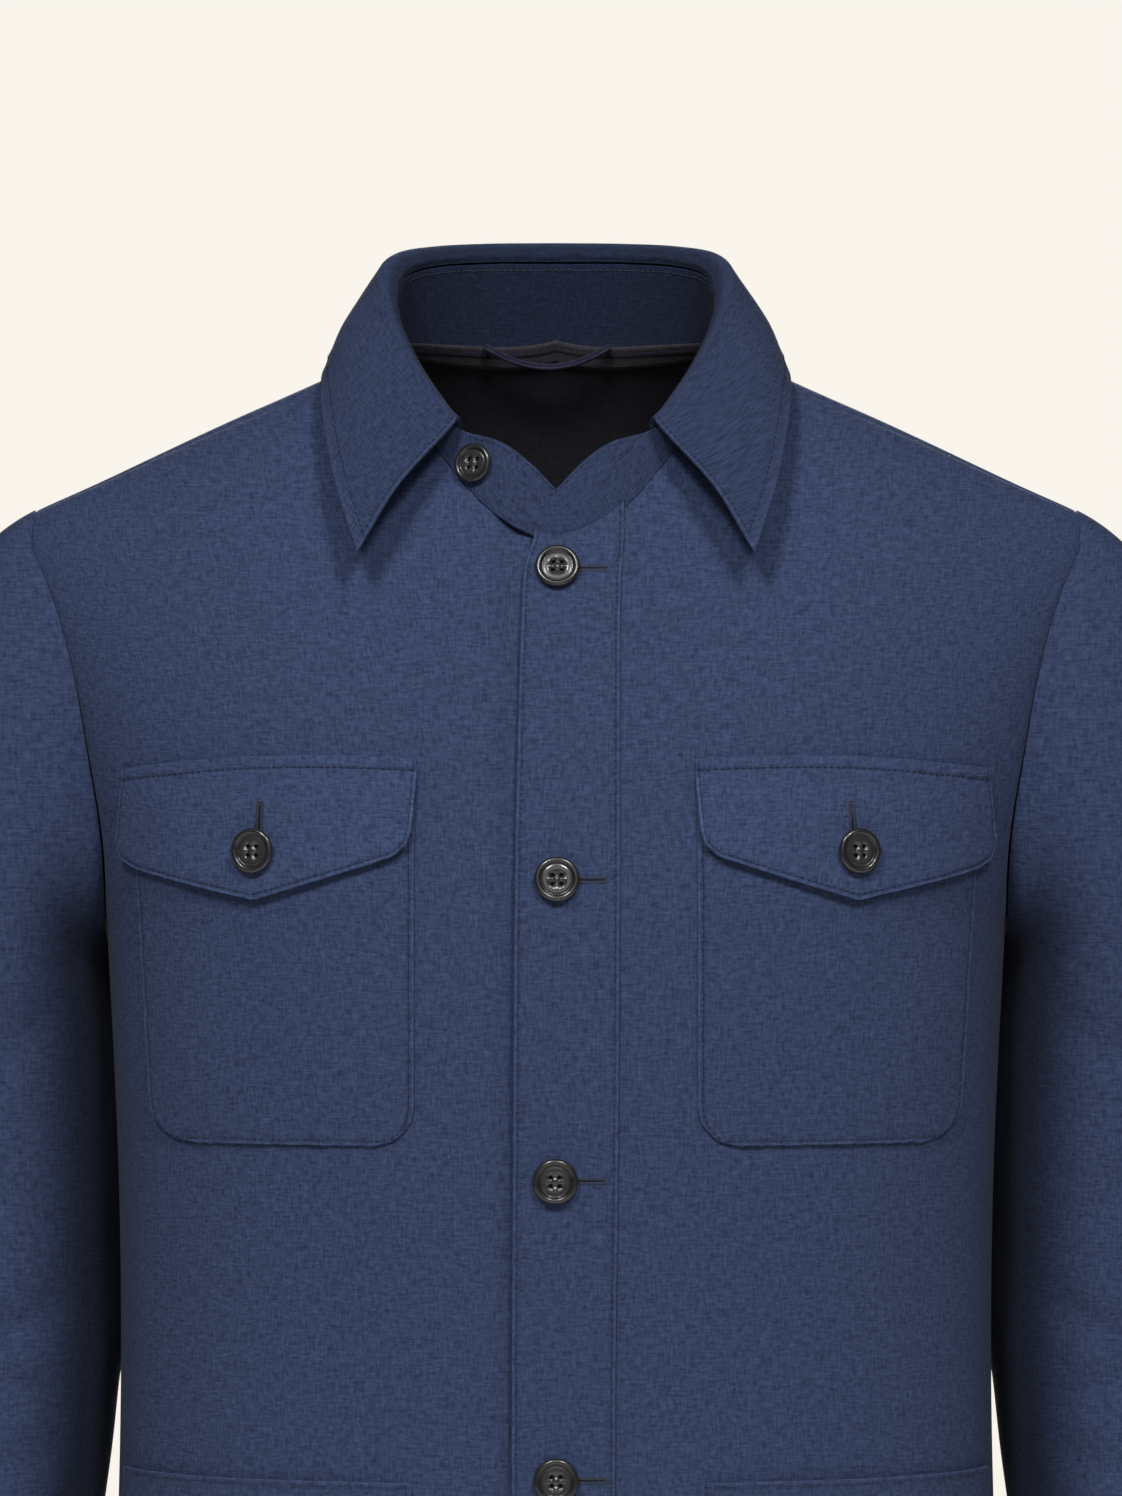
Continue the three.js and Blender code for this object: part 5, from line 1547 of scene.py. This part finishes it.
LINING = woven_material("lining_cloth", LINING_DARK, LINING_LIGHT, 0.02, 0.15, 0.6)
TAPE = woven_material("neck_tape_cloth", TAPE_DARK, TAPE_LIGHT, 0.03, 0.4, 0.8)
LOOP_CLOTH = woven_material("hanger_loop_cloth", LOOP_DARK, LOOP_LIGHT, 0.05, 0.3, 0.55)


def lining_shape(u, t):
    turn = math.radians(mix(LINING_START, 180.0 - LINING_START, u))
    x = LINING_HALF * math.cos(turn)
    top = neck_place("back", round(min(turn, math.pi - turn), 6))
    top_phi = math.copysign(top[0], x)
    low = locate("back", x, LINING_TOP_Z - LINING_DROP * math.sin(turn))
    t_down = mix(0.01, 1.0, 1.0 - t)
    phi = mix(top_phi, low[0], t_down)
    level = mix(top[1], low[1], t_down)
    return on_skin("back", phi, level, -CLOTH - 0.0008)


lining = cloth_sheet("neck_lining", 60, 40, lining_shape, BODY_MIDDLE, thick=0.0006, material=LINING, edge=0)
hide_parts("back_lining")


@functools.lru_cache(maxsize=None)
def tape_column(turn):
    phi, level = neck_place("back", min(turn, round(math.pi - turn, 6)))
    phi = math.copysign(phi, math.cos(turn))
    seam = skin("back", phi, level)
    fall = solve(0.0, 0.6, lambda d: TAPE_DROP - (skin("back", phi, level - d) - seam).length)
    return phi, level, fall


def tape_shape(u, t):
    turn = round(QUARTER + math.radians(90.0) * TAPE_REACH * (1.0 - 2.0 * u), 6)
    phi, level, fall = tape_column(turn)
    low = on_skin("back", phi, level - fall, -CLOTH - 0.0014 - TAPE_BEHIND)
    round_ = 90.0 - math.degrees(turn)
    seam = neck_spot(round_)
    rise = (stand_top_spot(round_) - seam).normalized()
    outward = away_from_neck(stand_top_spot, round_) * (STAND_THICK + TAPE_BEHIND)
    return low.lerp(seam + rise * TAPE_RISE - outward, t)


tape = cloth_sheet("neck_tape", 90, 6, tape_shape, NECK_MIDDLE, thick=TAPE_THICK, material=TAPE, edge=0)


def loop_spot(t):
    x = LOOP_MIDDLE_X + t * LOOP_HALF_SPAN
    neck_y = NECK_CENTRE_Y + NECK_BACK * math.sqrt(1.0 - (x / NECK_HALF) ** 2)
    inset = mix(LOOP_INSET, LOOP_END_INSET, t ** 14)
    return Vector((x, neck_y - inset, LOOP_TOP_Z - LOOP_SAG * (1.0 - t * t)))


def loop_shape(u, t):
    centre = loop_spot(2.0 * t - 1.0)
    ahead = (loop_spot(min(1.0, 2.0 * t - 0.99)) - loop_spot(max(-1.0, 2.0 * t - 1.01))).normalized()
    side = ahead.cross(Vector((0.0, 1.0, 0.0))).normalized()
    turn = u * 2.0 * math.pi
    pinch = 1.0 - 0.35 * math.exp(-(((math.degrees(turn) % 360.0 - 90.0) / 24.0) ** 2))
    pinch -= 0.35 * math.exp(-(((math.degrees(turn) % 360.0 - 270.0) / 24.0) ** 2))
    return centre + (side * math.cos(turn) * 1.15 + side.cross(ahead) * math.sin(turn) * pinch) * LOOP_RADIUS


loop = cloth_sheet("tape_hanger_loop", 32, 60, loop_shape, loop_spot(0.0), thick=0.0005, ring=True,
                   material=LOOP_CLOTH, edge=0)
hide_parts("hanger_loop")

# Buttons
# The buttons are turned from dark grey horn, with a raised rim, a groove, a dished face and
# four holes. Each is sewn on through its holes with navy thread, a little clear of the cloth.

BUTTON_RADIUS = 0.0098
COLLAR_BUTTON_RADIUS = 0.0088
BUTTON_THICK = 0.0034
BUTTON_STAND_OFF = 0.0005
BUTTON_STEPS = 64
DISH_SHARE = 0.50
DISH_UP = 0.60
BUTTON_PROFILE = (
    (0.50, 0.60), (0.58, 0.61), (0.635, 0.60), (0.66, 0.56), (0.69, 0.56), (0.715, 0.66), (0.75, 0.86),
    (0.80, 0.97), (0.86, 1.0), (0.92, 0.95), (0.965, 0.84), (0.99, 0.70), (1.0, 0.56), (0.985, 0.40),
    (0.93, 0.22), (0.84, 0.08), (0.72, 0.0), (0.50, 0.0),
)
HOLE_RADIUS = 0.00092
HOLE_SPREAD = 0.0019
HOLE_STEPS = 14
SHANK_RADIUS = 0.0016
FLAP_BUTTON = (0.1285, -0.2125)
FLAP_BUTTON_LIFT = 0.0031
COLLAR_BUTTON_ROUND = -151.0
COLLAR_BUTTON_UP = 0.52
HORN_DARK = (0.0075, 0.0075, 0.0090, 1.0)
HORN_LIGHT = (0.0330, 0.0310, 0.0330, 1.0)


def horn_material():
    material = bpy.data.materials.new("dark_horn")
    material.use_nodes = True
    nodes = material.node_tree.nodes
    links = material.node_tree.links
    shader = nodes["Principled BSDF"]
    shader.inputs["Roughness"].default_value = 0.32
    shader.inputs["Specular IOR Level"].default_value = 0.5
    shader.inputs["Coat Weight"].default_value = 0.6
    shader.inputs["Coat Roughness"].default_value = 0.12
    place = nodes.new("ShaderNodeTexCoord")
    stretch = nodes.new("ShaderNodeVectorMath")
    stretch.operation = "MULTIPLY"
    stretch.inputs[1].default_value = (150.0, 150.0, 520.0)
    links.new(place.outputs["Object"], stretch.inputs[0])
    streak = noise_node(nodes, links, stretch.outputs[0], 3.0)
    tint = nodes.new("ShaderNodeMix")
    tint.data_type = "RGBA"
    tint.inputs[6].default_value = HORN_DARK
    tint.inputs[7].default_value = HORN_LIGHT
    links.new(streak, tint.inputs[0])
    toned = nodes.new("ShaderNodeGroup")
    toned.node_tree = TONE_GROUP
    links.new(tint.outputs[2], toned.inputs["Colour"])
    links.new(toned.outputs["Colour"], shader.inputs["Base Color"])
    return material


HORN = horn_material()


def pierced_disc(bm, radius, height):
    outer = bmesh.ops.create_circle(bm, segments=BUTTON_STEPS, radius=radius,
                                    matrix=Matrix.Translation((0.0, 0.0, height)))
    rims = [set(outer["verts"])]
    for dx, dy in ((1, 1), (-1, 1), (-1, -1), (1, -1)):
        middle = Matrix.Translation((dx * HOLE_SPREAD, dy * HOLE_SPREAD, height))
        hole = bmesh.ops.create_circle(bm, segments=HOLE_STEPS, radius=HOLE_RADIUS, matrix=middle)
        rims.append(set(hole["verts"]))
    loops = [[e for e in bm.edges if e.verts[0] in rim and e.verts[1] in rim] for rim in rims]
    bmesh.ops.triangle_fill(bm, use_beauty=True, edges=[e for loop_edges in loops for e in loop_edges])
    return loops[1:]


def make_button(name, radius, spot, outward):
    bm = bmesh.new()
    shade = bm.verts.layers.float.new("tone")
    profile = [bm.verts.new((out * radius, 0.0, up * BUTTON_THICK)) for out, up in BUTTON_PROFILE]
    edges = [bm.edges.new(pair) for pair in zip(profile, profile[1:])]
    bmesh.ops.spin(bm, geom=profile + edges, axis=(0, 0, 1), cent=(0, 0, 0), angle=2.0 * math.pi,
                   steps=BUTTON_STEPS, use_merge=True)
    top_loops = pierced_disc(bm, DISH_SHARE * radius, DISH_UP * BUTTON_THICK)
    low_loops = pierced_disc(bm, DISH_SHARE * radius, 0.0)
    for top_loop, low_loop in zip(top_loops, low_loops):
        bmesh.ops.bridge_loops(bm, edges=top_loop + low_loop)
    bmesh.ops.remove_doubles(bm, verts=bm.verts, dist=0.00001)
    bmesh.ops.recalc_face_normals(bm, faces=bm.faces)
    # The dished centre is a lighter grey-brown horn than the rim. The underside and the bottoms of the holes
    # are darkened, painted shade under the button and in its holes.
    for v in bm.verts:
        out = math.hypot(v.co.x, v.co.y) / radius
        v[shade] = mix(1.5, 0.8, ease(0.55, 0.68, out)) * (1.0 if v.co.z > 0.0004 else 0.4)
    for face in bm.faces:
        face.smooth = math.hypot(*face.calc_center_median().xy) > DISH_SHARE * radius
    turned = outward.to_track_quat("Z", "Y").to_matrix().to_4x4()
    place = Matrix.Translation(spot + outward * BUTTON_STAND_OFF) @ turned
    bmesh.ops.transform(bm, matrix=place, verts=bm.verts)
    piece = sewn_piece(f"horn_{name}", bm, HORN)
    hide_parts(name)
    shank = bmesh.new()
    bmesh.ops.create_cone(shank, cap_ends=True, segments=16, radius1=SHANK_RADIUS, radius2=SHANK_RADIUS,
                          depth=BUTTON_STAND_OFF * 2.4, matrix=Matrix.Translation(spot) @ turned)
    sewn_piece(f"{name}_shank", shank)


for number, (x, z) in enumerate(PLACKET_BUTTONS, 1):
    phi, level = locate("front", x, z)
    spot = laid_on_front(x, z, LAY_GAP + PLACKET_THICK + 0.0002)
    make_button(f"placket_button_{number}", BUTTON_RADIUS, spot, skin_normal("front", phi, level))
for side_name, sign in (("left", 1.0), ("right", -1.0)):
    x, z = FLAP_BUTTON
    phi, level = locate("front", x * sign, z)
    spot = laid_on_front(x * sign, z, LAY_GAP + POCKET_THICK + FLAP_BUTTON_LIFT)
    make_button(f"flap_button_{side_name}", BUTTON_RADIUS, spot, skin_normal("front", phi, level))
collar_u = (COLLAR_BUTTON_ROUND + STAND_RIGHT_END) / (STAND_LEFT_END + STAND_RIGHT_END)
make_button("collar_button", COLLAR_BUTTON_RADIUS, stand_shape(collar_u, COLLAR_BUTTON_UP),
            outward_at(stand_shape, collar_u, COLLAR_BUTTON_UP, Vector((0.0, 0.0, -0.04))))
